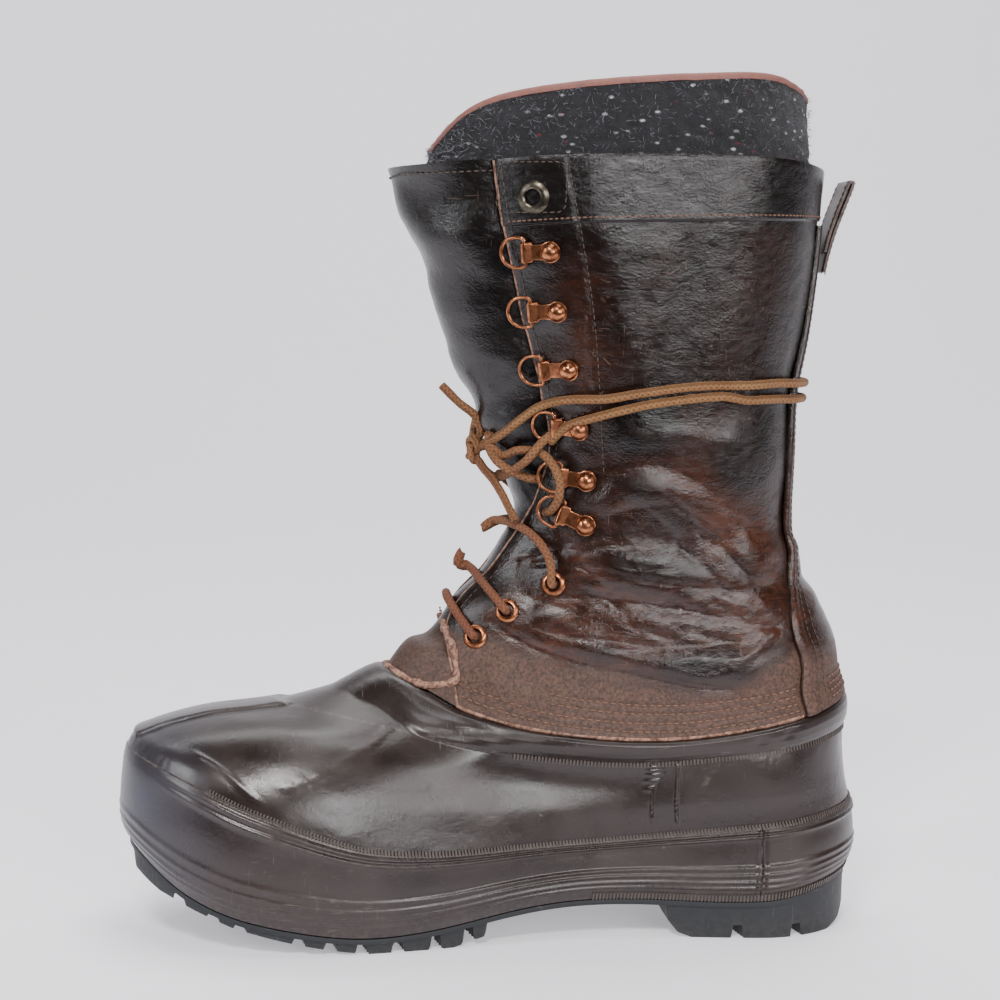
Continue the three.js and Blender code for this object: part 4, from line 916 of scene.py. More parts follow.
def tie_turns():
    """The two turns round the shaft, from the medial rings round the back to the knot."""
    for name, heights in WRAP_HEIGHTS.items():
        start = laid(WRAP_STARTS[name], 1, LACE + 0.7)
        around = []
        for angle in np.linspace(1.0, -1.85, 20):
            x = float(point_on(FORM, LEVEL["calf"], angle)[0])
            height = float(curve(WRAP_XS, heights, -x))
            level = solve(lambda v: point_on(FORM, v, angle)[..., 2] - height, COLLAR, TOP)
            stay = 2.2 * float(smooth_step(-3, 4, x))
            around.append(offset_on(FORM, level, angle, LACE + 0.7 + stay))
        last = around[-1][0]
        ahead = [(x, float(curve(WRAP_XS, heights, -x))) for x in (-97, -105, -113, -120) if x < last - 4]
        route = np.array(start + around + laid(ahead, -1, LACE + 1.6) + [KNOT + [-0.5, 2.5, 1.5]])
        lace_piece(f"wrap_{name}", [route], [f"lace_wrap_{name}"], 0.12)


def tie_knot():
    """The tangle before the throat, the knot and the two loose ends."""
    lace_piece("tangle", [np.array(laid(route, sign, lift)) for sign, route, lift in TANGLE],
               ["lace_crossings"], 0.4)
    turn = np.linspace(0, 2 * math.pi, 90, endpoint=False)
    reach = 3.0 + 1.5 * np.cos(3 * turn)
    loops = np.stack([1.7 * np.sin(3 * turn), reach * np.cos(2 * turn), 1.15 * reach * np.sin(2 * turn)], -1)
    knot, _ = lace_piece("knot", [KNOT + loops], ["lace_knot"], 0.25, KNOT_LACE, closed=True)
    for name, points, with_pieces in (("end_upper", END_UP, [knot]), ("end_lower", END_DOWN, [])):
        piece, path = lace_piece(name, [np.array(points)], [f"lace_{name}"], 0.45, END_LACE)


tie_bars()
tie_turns()
tie_knot()


# The rubber shell
SHELL_OUT = np.array([
    [0.0, -0.5], [0.03, 0.0], [1.0, 0.0], [1.62, 0.15], [1.78, 0.35], [1.96, 0.35], [1.985, -0.2],
    [2.5, -0.2], [3.0, 0.0], [4.93, 0.0], [5.0, 0.7], [5.08, 1.25], [5.3, 2.1], [5.6, 2.6], [5.86, 2.45],
    [5.96, 1.7], [6.0, 0.9],
])
# Above this level the shell is a thin flange inside the leather.
RUBBER_TOP = 5.95
FLANGE_LEVELS = np.array([6.0, 6.55])
FLANGE_WALL = 2
# Levels of the ribs low on the wall and of the lines on the band, and how high they stand.
FOXING_RIBS = (1.12, 0.93, 0.74, 0.57)
RIB_HEIGHT = 0.85
BAND_LINES = (1.76, 1.87)
LINE_HEIGHT = 0.95
STRIP_HALF_WIDTH = 9
STRIP_HEIGHT = 1.4
SEAM_HEIGHT = 1.6
# Lines moulded into both sides, drawn from the side.
TOE_CAP = smooth_line([(-241.2, 80.9), (-234.5, 78.0), (-227.7, 73.6), (-217.1, 64.6)])
VAMP_PANEL = smooth_line([(-206.2, 69.4), (-193.0, 74.0), (-180.8, 79.8), (-166.0, 88.6), (-153.3, 97.7)])
# Upright seams: x, lower end, upper end.
SIDE_SEAMS = ((-50.8, 49, 79), (-40.5, 49, 78))
MOULD_SEAM = (-4.5, 18, 49)
BASE_COLUMNS = 290


def shell_relief(level, base):
    """How far the rubber stands proud of the form, and the height of its moulded lines."""
    x, y, z = base[..., 0], base[..., 1], base[..., 2]
    roll_narrows = 0.5 * smooth_step(-146, -168, x)
    roll_narrows = roll_narrows * smooth_step(4.5, 4.9, level) * smooth_step(6.0, 5.5, level)
    out = np.interp(level - roll_narrows, SHELL_OUT[:, 0], SHELL_OUT[:, 1])
    patchy = 0.6 + 0.5 * noise(base, (44, 44, 60), 11) - 0.2 * smooth_step(-205, -240, x)
    ribs = sum(bump(level, rib, 0.055) for rib in FOXING_RIBS) * clamp(patchy, 0.1, 1.1) * RIB_HEIGHT
    lines = sum(bump(level, line, 0.036) for line in BAND_LINES) * LINE_HEIGHT
    lines = lines * smooth_step(-262, -225, x)
    from_middle = np.abs(y - centre_line(x))
    strip = STRIP_HEIGHT * (1 - smooth_step(STRIP_HALF_WIDTH - 0.3, STRIP_HALF_WIDTH + 1.5, from_middle))
    strip = strip - 0.6 * bump(from_middle, STRIP_HALF_WIDTH + 2.4, 1.0)
    strip = strip * smooth_step(-150, -165, x)
    strip = strip * smooth_step(2.25, 2.5, level) * smooth_step(5.0, 4.85, level)
    low = level < 4.95
    toe = 0.6 * bump(distance_to(x, z, TOE_CAP), 0, 0.8) * low
    panel = 0.65 * bump(distance_to(x, z, VAMP_PANEL), 0, 0.9) * low * (x < -150)
    seams = sum(SEAM_HEIGHT * bump(x, at + 0.8 * noise(base, 12, 3), 0.75)
                * smooth_step(bottom, bottom + 3, z) * smooth_step(top, top - 4, z)
                for at, bottom, top in SIDE_SEAMS)
    at, bottom, top = MOULD_SEAM
    ends = smooth_step(bottom, bottom + 4, z) * smooth_step(top, top - 2, z)
    seams = seams + (bump(x, at, 0.7) - 0.7 * bump(x, at + 2.0, 0.9)) * ends
    dent = -0.9 * bump(x, -6, 2.5) * bump(level, 5.45, 0.28)
    dent = dent - 0.6 * bump(x, 6, 3) * bump(level, 5.6, 0.3)
    soft = 0.55 * noise(base, (46, 46, 26), 21) + 0.16 * noise(base, (15, 15, 10), 22)
    pleats = noise(base, (1.7, 1.7, 16), 23) * bump(level, 4.75, 0.5) * smooth_step(-150, -110, x)
    pleats = pleats + noise(base, (1.9, 1.9, 12), 24) * bump(level, 2.15, 0.25) * 0.7
    soft = soft * (1 - 0.6 * bump(level, 5.5, 0.5)) * smooth_step(0, 0.4, level)
    raised = ribs + lines + strip + toe + panel + seams
    return out + raised + dent + soft + 0.13 * pleats, raised


def shell_angles():
    """Angles round the shell, closer together at the toe strip's edges and the side seams."""
    wide = section_at(FORM, np.array(3.0))
    back, front = wide[BACK], wide[FRONT]
    angles = list(np.linspace(0, 2 * math.pi, BASE_COLUMNS, endpoint=False))
    edges = np.linspace(0.12, 0.5, 34)
    angles += list(math.pi - edges) + list(math.pi + edges)
    for low, high in ((-55, -46), (-45, -36), (-9, 1)):
        near = np.arccos((2 * np.linspace(low, high, 16) - back - front) / (back - front))
        angles += list(near) + list(2 * math.pi - near)
    return np.unique(np.round(angles, 4))


def make_shell():
    levels = np.unique(np.concatenate([
        np.linspace(0, 0.12, 5), np.linspace(0.12, 0.45, 9), np.linspace(0.45, 1.3, 52),
        np.linspace(1.3, 1.66, 10), np.linspace(1.66, 2.06, 40), np.linspace(2.06, 4.85, 50),
        np.linspace(4.85, 6.0, 40),
    ]))
    angle = shell_angles()[None]
    level = levels[:, None]
    base, normal = skin_on(FORM, level, angle)
    out, raised = shell_relief(level + 0 * angle, base)
    skin = base + normal * out[..., None]
    flange = offset_on(FORM, FLANGE_LEVELS[:, None], angle, -(LEATHER + EASE))
    in_levels = np.concatenate([np.linspace(0, 5.9, 14), FLANGE_LEVELS])[:, None]
    in_angle = np.linspace(0, 2 * math.pi, 96, endpoint=False)[None]
    sunk = np.where(in_levels < RUBBER_TOP, -RUBBER, -(LEATHER + EASE) - FLANGE_WALL)
    inner = offset_on(FORM, in_levels, in_angle, sunk + 0 * in_angle)
    x, z = base[..., 0], base[..., 2]
    lines_dust = bump(level, 1.97, 0.04) + bump(level, 4.98, 0.04) + 0 * z
    dust = 0.55 * np.exp(-(level + 0 * z) * 2.6) + 0.8 * lines_dust + 0.35 * clamp(raised, 0, 1)
    # Painted highlight: a bluish sheen over the toe and a bright spot at its front
    toe_sheen = 0.45 * smooth_step(-225, -262, x) + 0.6 * bump(np.hypot(x + 266, z - 60), 0, 9)
    layers = {"dust": clamp(dust, 0, 1), "toe_sheen": toe_sheen}
    piece = make_wall("rubber_shell", np.concatenate([skin, flange]), inner, RUBBER_SKIN, layers, 60, True)
    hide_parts("upper_rubber_shell")


# The outsole
PLATE = 2.4
# Height of the tread at each x, under the forefoot and under the heel.
TREAD = np.array([[-268, 29], [-257, 22], [-227, 11], [-206, 6], [-189, 2.4], [-174, 0], [-135, 0],
                  [-121, 3.5]])
HEEL_TREAD = np.array([[-43, 8], [-38, 2], [-32, 0], [30, 0], [37, 3], [41, 9]])
# Between the two treads, where neither has a block.
ARCH_X = -80
# Notches in the edges of the blocks, by x.
NOTCHES = (-250, -236, -225, -201, -188, -175, -160, -144, -130)
HEEL_NOTCHES = (-14, 12)
HEEL_NICK = 5.5
NOTCH_WIDTH = 4.4
NOTCH_DEPTH = 17
NOTCH_SLANT = 0.18
# Grooves in the middle of the tread: x, distance from the centre line, length, width.
GROOVES = [(-243, 0, 4, 52), (-218, 0, 4, 62), (-196, 0, 4, 62), (-172, 0, 4, 62), (-150, 0, 4, 62),
           (-184, -31, 112, 4), (-184, 31, 112, 4), (0, -16, 56, 4), (0, 16, 56, 4)]


def tread_mask(x, px, y, lug_reach):
    """1 where the tread's blocks stand and 0 between them, and where the heel's edge is nicked."""
    block = smooth_step(-269, -267.5, x) * smooth_step(-120.4, -121.6, x)
    block = np.maximum(block, smooth_step(-43.4, -42.4, x) * smooth_step(41.6, 40.6, x))
    mask = block[:, None] + 0 * y
    nick = np.zeros_like(mask)
    for at in NOTCHES + HEEL_NOTCHES:
        for sign in (-1, 1):
            from_edge = lug_reach - sign * y
            slanted = np.abs(px - at - sign * NOTCH_SLANT * from_edge + sign * 1.5)
            inside = smooth_step(NOTCH_DEPTH, NOTCH_DEPTH - 1, from_edge) * (sign * y > 0)
            cut = smooth_step(NOTCH_WIDTH / 2 + 0.5, NOTCH_WIDTH / 2 - 0.3, slanted) * inside
            if at in HEEL_NOTCHES:
                nick = np.maximum(nick, cut)
            else:
                mask = mask * (1 - cut)
    for at, off, long, wide in GROOVES:
        gap = smooth_step(long / 2 + 0.4, long / 2 - 0.4, np.abs(px - at))
        gap = gap * smooth_step(wide / 2 + 0.4, wide / 2 - 0.4, np.abs(y - off))
        mask = mask * (1 - gap)
    return mask, nick


def make_sole():
    share = np.linspace(0, math.pi, 560)
    edge = FORM[0]
    x = (edge[BACK] + edge[FRONT]) / 2 - (edge[BACK] - edge[FRONT]) / 2 * np.cos(share) * 0.9995
    x = np.sort(0.45 * x + 0.55 * np.linspace(x[0], x[-1], len(x)))
    section = edge[None].repeat(len(x), 0)
    top = height_at(section, x) - SOLE_DROP
    bottom = top - PLATE
    reach = {medial: np.maximum(half_width(section, x, np.full(len(x), medial)), 0.6)
             for medial in (True, False)}
    across = np.linspace(-1, 1, 76)
    lug_reach = np.where(across[None] < 0, reach[True][:, None], reach[False][:, None])
    lug_reach = np.maximum(lug_reach - 1.2, 0.3)
    y = across[None] * lug_reach
    px = x[:, None] + 0 * y
    heel = np.interp(x, HEEL_TREAD[:, 0], HEEL_TREAD[:, 1])
    tread = np.where(x < ARCH_X, np.interp(x, TREAD[:, 0], TREAD[:, 1]), heel)
    mask, nick = tread_mask(x, px, y, lug_reach)
    grid = np.stack([px, centre_line(px) + y, 0 * y], -1)
    worn = 0.25 * (1 + noise(grid, (11, 11, 50), 31)) * smooth_step(2, 8, top[:, None] - tread[:, None])
    flat = np.minimum(tread[:, None] + worn * (tread[:, None] > 0.3), bottom[:, None])
    z = bottom[:, None] + (flat - bottom[:, None]) * mask
    grid[..., 2] = np.minimum(np.maximum(z, HEEL_NICK * nick), bottom[:, None])
    rim = []
    for medial, sign in ((True, -1), (False, 1)):
        wide = reach[medial]
        for width, height in ((wide, top), (wide + 0.15, (top + bottom) / 2), (wide, bottom + 0.3),
                              (wide - 0.9, bottom)):
            rim.append(np.stack([x, centre_line(x) + sign * width, height], -1))
    loop = np.concatenate([np.stack(rim[:4], 1), grid, np.stack(rim[4:][::-1], 1)], 1)
    rows, count = loop.shape[:2]
    plain = np.zeros((rows, 4))
    depth = np.concatenate([plain, 1 - mask * 0.8, plain], 1)
    piece = make_piece("lugged_outsole", loop.reshape(-1, 3), ring_faces(rows, count), SOLE_SKIN,
                       {"dust": depth}, crease=35)
    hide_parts("outsole")


# The leather
# Rubbed places, from the side: x, z, radius.
WEAR = [
    (-40, 196, 30), (-3, 145, 22), (-69, 134, 28), (-102, 126, 26), (-14, 116, 24), (-16, 170, 22),
    (-88, 276, 13), (-84, 246, 13), (-78, 220, 12),
]
# Drawn folds of the ankle, from the side: route, width, height (a crease is below 0).
FOLDS = [
    ([(-118.9, 134.4), (-106.9, 126.3), (-87.8, 119.6), (-59.3, 114.2), (-30.7, 108.8),
      (-18.9, 107.9)], 1.7, -1.2),
    ([(-117.0, 140.0), (-104.0, 131.2), (-86.0, 124.6), (-58.0, 119.6), (-31.0, 114.2)], 5.0, 0.8),
    ([(-102.3, 133.5), (-85.6, 129.1), (-64.2, 127.1), (-40.5, 125.2), (-16.9, 128.1)], 1.6, -0.8),
    ([(-98.0, 139.4), (-82.0, 136.0), (-60.0, 134.4), (-38.0, 132.0), (-12.0, 131.4)], 4.6, 0.6),
    ([(-93.0, 145.5), (-76.5, 147.0), (-55.1, 143.9), (-31.3, 139.6), (-7.5, 134.2),
      (2.0, 133.2)], 1.5, -0.9),
    ([(-88.0, 152.0), (-72.0, 152.0), (-52.0, 148.4), (-29.0, 144.4), (-6.0, 140.4)], 4.0, 0.5),
    ([(-81.4, 157.6), (-64.8, 155.5), (-43.4, 152.4), (-17.3, 149.4), (-0.8, 150.9)], 1.5, -0.5),
    ([(-82.7, 164.7), (-69.8, 168.5), (-55.5, 166.4)], 1.3, -0.5),
    ([(-81.5, 162.3), (-64.9, 160.3), (-45.9, 158.3)], 1.3, -0.4),
    ([(-83.8, 159.9), (-74.2, 151.8), (-69.3, 143.6)], 1.3, -0.8),
    ([(-85.1, 165.8), (-95.7, 164.4), (-107.5, 159.5)], 1.4, -0.9),
    ([(-84.0, 163.0), (-90.0, 170.0), (-93.0, 176.0)], 1.3, -0.7),
    ([(-74.7, 179.0), (-63.0, 184.0), (-46.4, 185.5), (-32.1, 179.9), (-22.5, 170.6)], 2.4, -0.6),
    ([(-72.0, 188.0), (-60.0, 192.4), (-44.0, 192.0), (-28.0, 184.0), (-15.0, 171.0),
      (-8.0, 160.0)], 7.5, 0.9),
    ([(-75.1, 200.3), (-60.9, 202.6), (-44.3, 199.2), (-26.5, 189.1), (-10.0, 172.8),
      (-2.7, 160.1)], 3.0, -0.5),
    ([(-65.9, 214.7), (-47.0, 215.1), (-23.3, 213.2)], 4.0, 0.7),
    ([(-33.2, 115.9), (-14.4, 121.0), (-0.4, 130.7)], 2.2, 0.9),
    ([(-111.6, 128.6), (-116.6, 138.0), (-108.4, 145.2)], 1.2, -0.5),
    ([(-104.0, 146.0), (-98.0, 142.0), (-90.0, 140.6)], 1.3, -0.8),
    ([(-70.0, 240.0), (-60.0, 262.0), (-56.0, 290.0)], 7.0, 0.7),
    ([(-20.0, 240.0), (-12.0, 262.0), (-8.0, 292.0)], 6.0, -0.6),
    ([(-86.0, 262.0), (-84.0, 240.0), (-78.0, 224.0)], 2.0, -0.6),
]
# Rows of short creases: ends of the row, how many, how long, tilt in degrees.
FANS = [
    ((-44, 184), (-8, 152), 13, 13, -58), ((-50, 176), (-22, 150), 9, 9, -48),
    ((-78, 144), (-8, 140), 21, 9, -38), ((-60, 132), (-14, 130), 12, 7, -30),
    ((-103, 157), (-86, 168), 7, 7, 12),
]
FAN_DEPTH = 0.55
FAN_WIDTH = 1.1
# Smooth swellings between the folds: middle, half length, half height, tilt in degrees, rise.
SWELLS = [
    (-57, 158, 25, 9, -6, 2.5), (-28, 117.5, 27, 8, -3, 2.6), (-50, 187, 22, 9, -34, 1.7),
    (-99, 136.5, 9, 5, 35, 1.0), (-78, 126, 16, 5, -20, 1.1), (-12, 158, 10, 14, 0, 1.2),
    (-62, 216, 20, 11, -12, 1.0), (-18, 204, 13, 16, 0, 0.9),
]
DEEPEST_FOLD = -3.4
HIGHEST_SWELL = 2.9
# Levels of the stitch rows along the hem, and the upper edge of the paler hem, as x and z.
HEM_ROWS = (6.34, 6.6, 6.88, 7.16)
HEM_LINE = np.array([[-139, 131], [-119, 130], [-107, 124.5], [-88, 117.5], [-59, 112.5], [-31, 107.5],
                     [-19, 108.5], [0, 114], [12, 124], [36, 124]])
# The seam behind the rings, as z and x.
FACING = np.array([[200, -76], [234.6, -79.3], [266.5, -83.5], [299.5, -90.1], [323, -95.3], [340, -97]])


def quiet_spots(base):
    """1 on open leather, falling to 0 under the metal fittings."""
    calm = np.ones(base.shape[:-1])
    places = list(EYELETS.values()) + [GROMMET] + [spot for hook in HOOKS for spot in hook]
    for x, z in places:
        near = np.hypot(base[..., 0] - x, base[..., 2] - z)
        calm = calm * smooth_step(3.5, 11, near)
    return calm


def folds_at(u, v):
    """The drawn folds and fans of creases, seen from the side, and how they rub the leather."""
    folds = 0
    rub = 0
    for route, width, height in FOLDS:
        off = distance_to(u, v, smooth_line(route, 12))
        crease = height < 0
        folds = folds + height * (np.exp(-off / width) if crease else bump(off, 0, width))
        rub = rub + (0.3 * bump(off, 0, 2.4 * width) if crease else 0.1 * bump(off, 0, width))
    for start, end, count, long, tilt in FANS:
        half = 0.5 * long * np.array([math.cos(math.radians(tilt)), math.sin(math.radians(tilt))])
        for k in range(count):
            stray = np.array([math.sin(7.3 * k), math.cos(5.1 * k)]) * 1.8
            middle = np.array(start) + (np.array(end) - start) * k / (count - 1) + stray
            tip = middle + half * (0.6 + 0.4 * math.sin(3 * k))
            off = distance_to(u, v, np.array([middle - half, tip]))
            folds = folds - FAN_DEPTH * np.exp(-off / FAN_WIDTH)
    return folds, rub


def swells_at(u, v):
    """The swellings between the folds, seen from the side, and where their crowns are."""
    swells = 0
    crowns = 0
    for cx, cz, long, high, tilt, rise in SWELLS:
        turn = math.radians(tilt)
        across = ((u - cx) * math.cos(turn) + (v - cz) * math.sin(turn)) / long
        up = ((v - cz) * math.cos(turn) - (u - cx) * math.sin(turn)) / high
        crown = np.exp(-(across ** 2 + up ** 2) ** 1.4)
        swells = swells + rise * crown
        crowns = crowns + crown
    return swells, clamp(crowns, 0, 1)


def leather_relief(level, angle, base):
    """How far the leather stands proud of the form, and its worn, hem and dark layers; the dark layer also
    holds painted shade in the creases.
    """
    x, z = base[..., 0], base[..., 2]
    # The lateral side has the medial side's folds, a little moved.
    lateral = np.sin(angle) < 0
    u = np.where(lateral, x + 4 + 3 * noise(base, 40, 41), x)
    v = np.where(lateral, z - 2 + 3 * noise(base, 36, 42), z)
    calm = quiet_spots(base)
    folds, rub = folds_at(u, v)
    folds = folds * (0.85 + 0.3 * noise(base, 9, 43)) * smooth_step(16, 2, x)
    swells, crowns = swells_at(u, v)
    swells = swells * smooth_step(22, 8, x)
    ankle = bump(level, 10.4, 2.5) * smooth_step(-128, -105, x)
    slanted = base.copy()
    slanted[..., 2] = z + 0.22 * (x + 60)
    ridged = 1 - np.abs(noise(slanted, (20, 20, 5.5), 44))
    small = 1 - np.abs(noise(slanted, (9, 9, 2.6), 45))
    wrinkles = ankle * (0.34 * (ridged - 0.6) + 0.26 * (small - 0.6)) * (1 - 0.5 * crowns)
    upper = smooth_step(12, 14, level) * smooth_step(18.4, 17, level)
    slack = 1.3 * noise(base, (34, 34, 44), 46) * smooth_step(6.4, 8.5, level)
    slack = slack * (1 - 0.7 * smooth_step(17, 18, level))
    slack = slack + 0.35 * upper * noise(base, (12, 12, 26), 47) + 0.12 * noise(base, (5, 5, 5), 48)
    body = (folds + swells + wrinkles + slack) * (0.12 + 0.88 * calm) * smooth_step(6.1, 7.2, level)
    cuff = CUFF_RISE * smooth_step(CUFF - 0.015, CUFF + 0.015, level)
    behind = x - np.interp(z, FACING[:, 0], FACING[:, 1])
    facing = 0.4 * smooth_step(0.4, -0.4, behind) * smooth_step(222, 226, z)
    rows_dip = -0.45 * sum(bump(level, row, 0.07) for row in HEM_ROWS) * smooth_step(-100, -80, x)
    hem_top = np.interp(x, HEM_LINE[:, 0], HEM_LINE[:, 1])
    hem = smooth_step(5, -4, z - hem_top + 5 * noise(base, (22, 22, 9), 49))
    worn = sum(bump(np.hypot(u - cx, v - cz), 0, r) for cx, cz, r in WEAR) * 0.45
    worn = worn + rub + 0.3 * ankle * (ridged - 0.35) - 0.5 * crowns
    worn = clamp(worn, 0, 1) * smooth_step(CUFF, CUFF - 0.4, level)
    dark = smooth_step(CUFF - 0.02, CUFF + 0.02, level) * 0.8
    dark = dark + upper * clamp(0.3 + 0.5 * noise(base, 50, 50), 0, 1) * 0.6
    # Painted shade along the middle of each crease
    dark = clamp(dark + clamp(-folds, 0, 1) * 0.5, 0, 1)
    out = clamp(body, DEEPEST_FOLD, HIGHEST_SWELL) + cuff + facing + rows_dip
    return out, {"worn": worn, "hem": hem, "dark": dark}


def leather_at(level, angle, extra=0.0):
    """A point on the finished leather, with its normal."""
    level, angle = np.broadcast_arrays(np.asarray(level, float), np.asarray(angle, float))
    base, normal = skin_on(FORM, level, angle)
    out, _ = leather_relief(level, angle, base)
    return base + normal * (out + extra)[..., None], normal


def even_levels(low, high, count):
    """Levels whose heights up the side are even."""
    heights = FORM[:, HEIGHTS + 2]
    ends = np.interp([low, high], np.arange(len(FORM)), heights)
    return np.interp(np.linspace(*ends, count), heights, np.arange(len(FORM)))


def make_shaft():
    levels = np.unique(np.concatenate([
        even_levels(SHAFT_FOOT, TOP, 216), np.linspace(CUFF - 0.04, CUFF + 0.04, 6),
    ]))
    share = np.linspace(1, -1, 330)
    reach = angle_at(FORM, levels, section_at(FORM, levels)[:, EDGE])[:, None]
    angle = reach * share[None]
    level = levels[:, None] + 0 * angle
    base, normal = skin_on(FORM, level, angle)
    out, layers = leather_relief(level, angle, base)
    rolled = 0.5 * bump(np.abs(share), 1, 0.006) + 0.35 * bump(level, TOP, 0.05)
    outer = base + normal * (out - rolled)[..., None]
    in_levels = even_levels(SHAFT_FOOT, TOP, 40)
    in_reach = angle_at(FORM, in_levels, section_at(FORM, in_levels)[:, EDGE])[:, None]
    in_angle = in_reach * np.linspace(1, -1, 60)[None]
    inner = offset_on(FORM, in_levels[:, None] + 0 * in_angle, in_angle, -LEATHER)
    piece = make_wall("leather_shaft", outer, inner, LEATHER_SKIN, layers)
    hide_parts("upper_leather_shaft")


def make_tongue():
    outer = TONGUE_SKIN
    rows, columns = outer.shape[:2]
    up = np.linspace(0, 1, rows)[:, None] + 0 * outer[..., 0]
    side = np.abs(np.linspace(-1, 1, columns))[None] + 0 * outer[..., 0]
    soft = 1.0 * noise(outer, (30, 30, 16), 61) + 0.35 * noise(outer, (12, 12, 6), 62)
    waves = 1.15 * np.sin(outer[..., 2] / 6.5 + noise(outer, 40, 63) * 2.5) * smooth_step(0.3, 0.6, up)
    free = smooth_step(0.52, 0.62, up) * smooth_step(0.8, 0.5, side) + 0.25 * smooth_step(0.3, 0.0, up)
    hemmed = 0.45 * bump(up, 1, 0.02)
    skin = outer + TONGUE_OUT * (clamp((soft + waves) * free, -1.7, 1.7) + hemmed)[..., None]
    low = smooth_step(136, 120, outer[..., 2])
    layers = {"worn": 0.3 * low, "hem": 0.85 * low, "dark": smooth_step(150, 190, outer[..., 2])}
    piece = make_wall("bellows_tongue", skin, tongue_grid(60, LEATHER), LEATHER_SKIN, layers)
    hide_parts("tongue")


# The backstay and the pull loop
# The backstay's half-width at each level.
BACKSTAY = np.array([[6.04, 36], [7, 35], [8, 33], [9, 33], [10, 30], [11, 23], [12, 20], [13, 19.5],
                     [14, 20], [15, 20], [16, 19], [17, 18], [17.9, 18]])
# The backstay stands this far off the form, in two steps, and its inner face this far.
STAY_LOW = 1.15
STAY_RISE = 1.4
STAY_UNDER = 0.4
# Creases across the backstay: z, half-width, weight.
KINKS = ((170, 3.2, 1.0), (150, 3, 0.9), (132, 3, 0.5))


def stay_half(level):
    return curve(BACKSTAY[:, 0], BACKSTAY[:, 1], level)


def stay_angle(level, half, sign):
    """The angle where the form is half wide from its middle, on one side of the back."""
    def beyond(a):
        point = point_on(FORM, level, sign * a)
        return np.abs(point[..., 1] - centre_line(point[..., 0])) - half
    return sign * solve(beyond, 0, 1.5, np.shape(level))


def stay_grid(levels, across):
    """The form under the backstay: its points, its normals and their levels."""
    half = stay_half(levels)
    medial, lateral = stay_angle(levels, half, 1), stay_angle(levels, half, -1)
    share = (across[None] + 1) / 2
    angle = medial[:, None] + (lateral - medial)[:, None] * share
    level = levels[:, None] + 0 * angle
    return *skin_on(FORM, level, angle), level


def stay_skin(levels, across, extra=0.0):
    """The finished backstay: its points and normals, the form under it, and its kinks."""
    base, normal, level = stay_grid(levels, across)
    edge = np.abs(across)[None]
    bead = 0.55 * bump(edge, 0.93, 0.045) - 0.55 * bump(edge, 1, 0.02)
    kinks = sum(weight * bump(base[..., 2], at, wide) for at, wide, weight in KINKS)
    ankle = bump(level, 10.4, 2.4)
    wrinkle = ankle * (1 - np.abs(noise(base, (24, 24, 6), 71)) - 0.6) * 1.1
    soft = 0.5 * noise(base, (20, 20, 24), 72) - 0.5 * kinks + wrinkle
    skin = base + normal * (STAY_LOW + STAY_RISE + extra + bead + clamp(soft, -1.1, 0.9))[..., None]
    return skin, normal, base, kinks


def make_backstay():
    across = np.linspace(-1, 1, 70)
    skin, _, base, kinks = stay_skin(even_levels(STAY_FOOT, STAY_HEAD, 190), across)
    under, under_normal, _ = stay_grid(even_levels(STAY_FOOT, STAY_HEAD, 40), np.linspace(-1, 1, 14))
    inner = under + under_normal * STAY_UNDER
    z = base[..., 2]
    # The dark layer: darker towards the top, with painted shade in the kinks across the backstay
    layers = {"worn": clamp(0.55 * bump(z, 150, 34) + 0.5 * bump(np.abs(across)[None], 0.93, 0.1), 0, 1),
              "hem": smooth_step(128, 116, z + 4 * noise(base, 16, 73)),
              "dark": 0.5 * smooth_step(180, 230, z) + 0.4 * kinks.clip(0, 1)}
    piece = make_wall("heel_stay", skin, inner, LEATHER_SKIN, layers)
    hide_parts("backstay")


def ribbon(path, width, thickness, power, sides=28):
    """A strap along a path in a plane: points as (along the plane, across it, width)."""
    path = np.asarray(path, float)
    heading = unit(np.gradient(path, axis=0))
    across = np.stack([-heading[:, 1], heading[:, 0]], -1)
    turn = np.linspace(0, 2 * math.pi, sides, endpoint=False)
    c, s = np.cos(turn), np.sin(turn)
    w = np.sign(c) * np.abs(c) ** (2 / power)
    t = np.sign(s) * np.abs(s) ** (2 / power)
    widths = np.broadcast_to(width, (len(path),))
    flat = path[:, None] + across[:, None] * (t * thickness / 2)[None, :, None]
    points = np.concatenate([flat, (widths[:, None] / 2 * w[None])[..., None]], -1).reshape(-1, 3)
    return points, ring_faces(len(path), sides)


LOOP_PATH = smooth_line([(23.6, 284.2), (25.2, 292.0), (28.0, 302.0), (31.6, 312.0), (34.2, 319.0),
                         (35.3, 322.4), (34.9, 323.3), (33.4, 322.2), (31.4, 317.0), (28.4, 309.0),
                         (25.6, 300.0), (23.9, 293.0)], 70)
LOOP_WIDTH = 19
LOOP_WALL = 1.7


def make_loop():
    points, faces = ribbon(LOOP_PATH, LOOP_WIDTH, LOOP_WALL, power=7)
    points = points[:, [0, 2, 1]]
    points = points + 0.25 * noise(points, 6, 81)[:, None]
    layers = {key: np.full(len(points), value)
              for key, value in (("worn", 0.45), ("hem", 0.35), ("dark", 0.15))}
    piece = make_piece("pull_strap", points, faces, LEATHER_SKIN, layers, crease=50)
    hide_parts("pull_loop")


# The felt liner
# Where its front and front cap differ from the form's.
LINER_FRONTS = {"ankle": (-110, 84), "waist": (-106, 96), "shin": (-114, 132), "calf": (-124, 116),
                "swell": (-134, 112), "shoulder": (-143, 116), "cuff": (-148, 118), "top": (-153, 120)}
LINER_TOP = np.array([
    (21.5, -153.5, 50, 120, 0, 0, 1, 55, 55, 0, 342, 348, 347, 344.5, 341, 336, 329.5),
    (21, -153.5, 48, 120, 0, 0, 1, 54.5, 54.5, 0, 357, 363, 362, 358, 353, 346, 332),
])
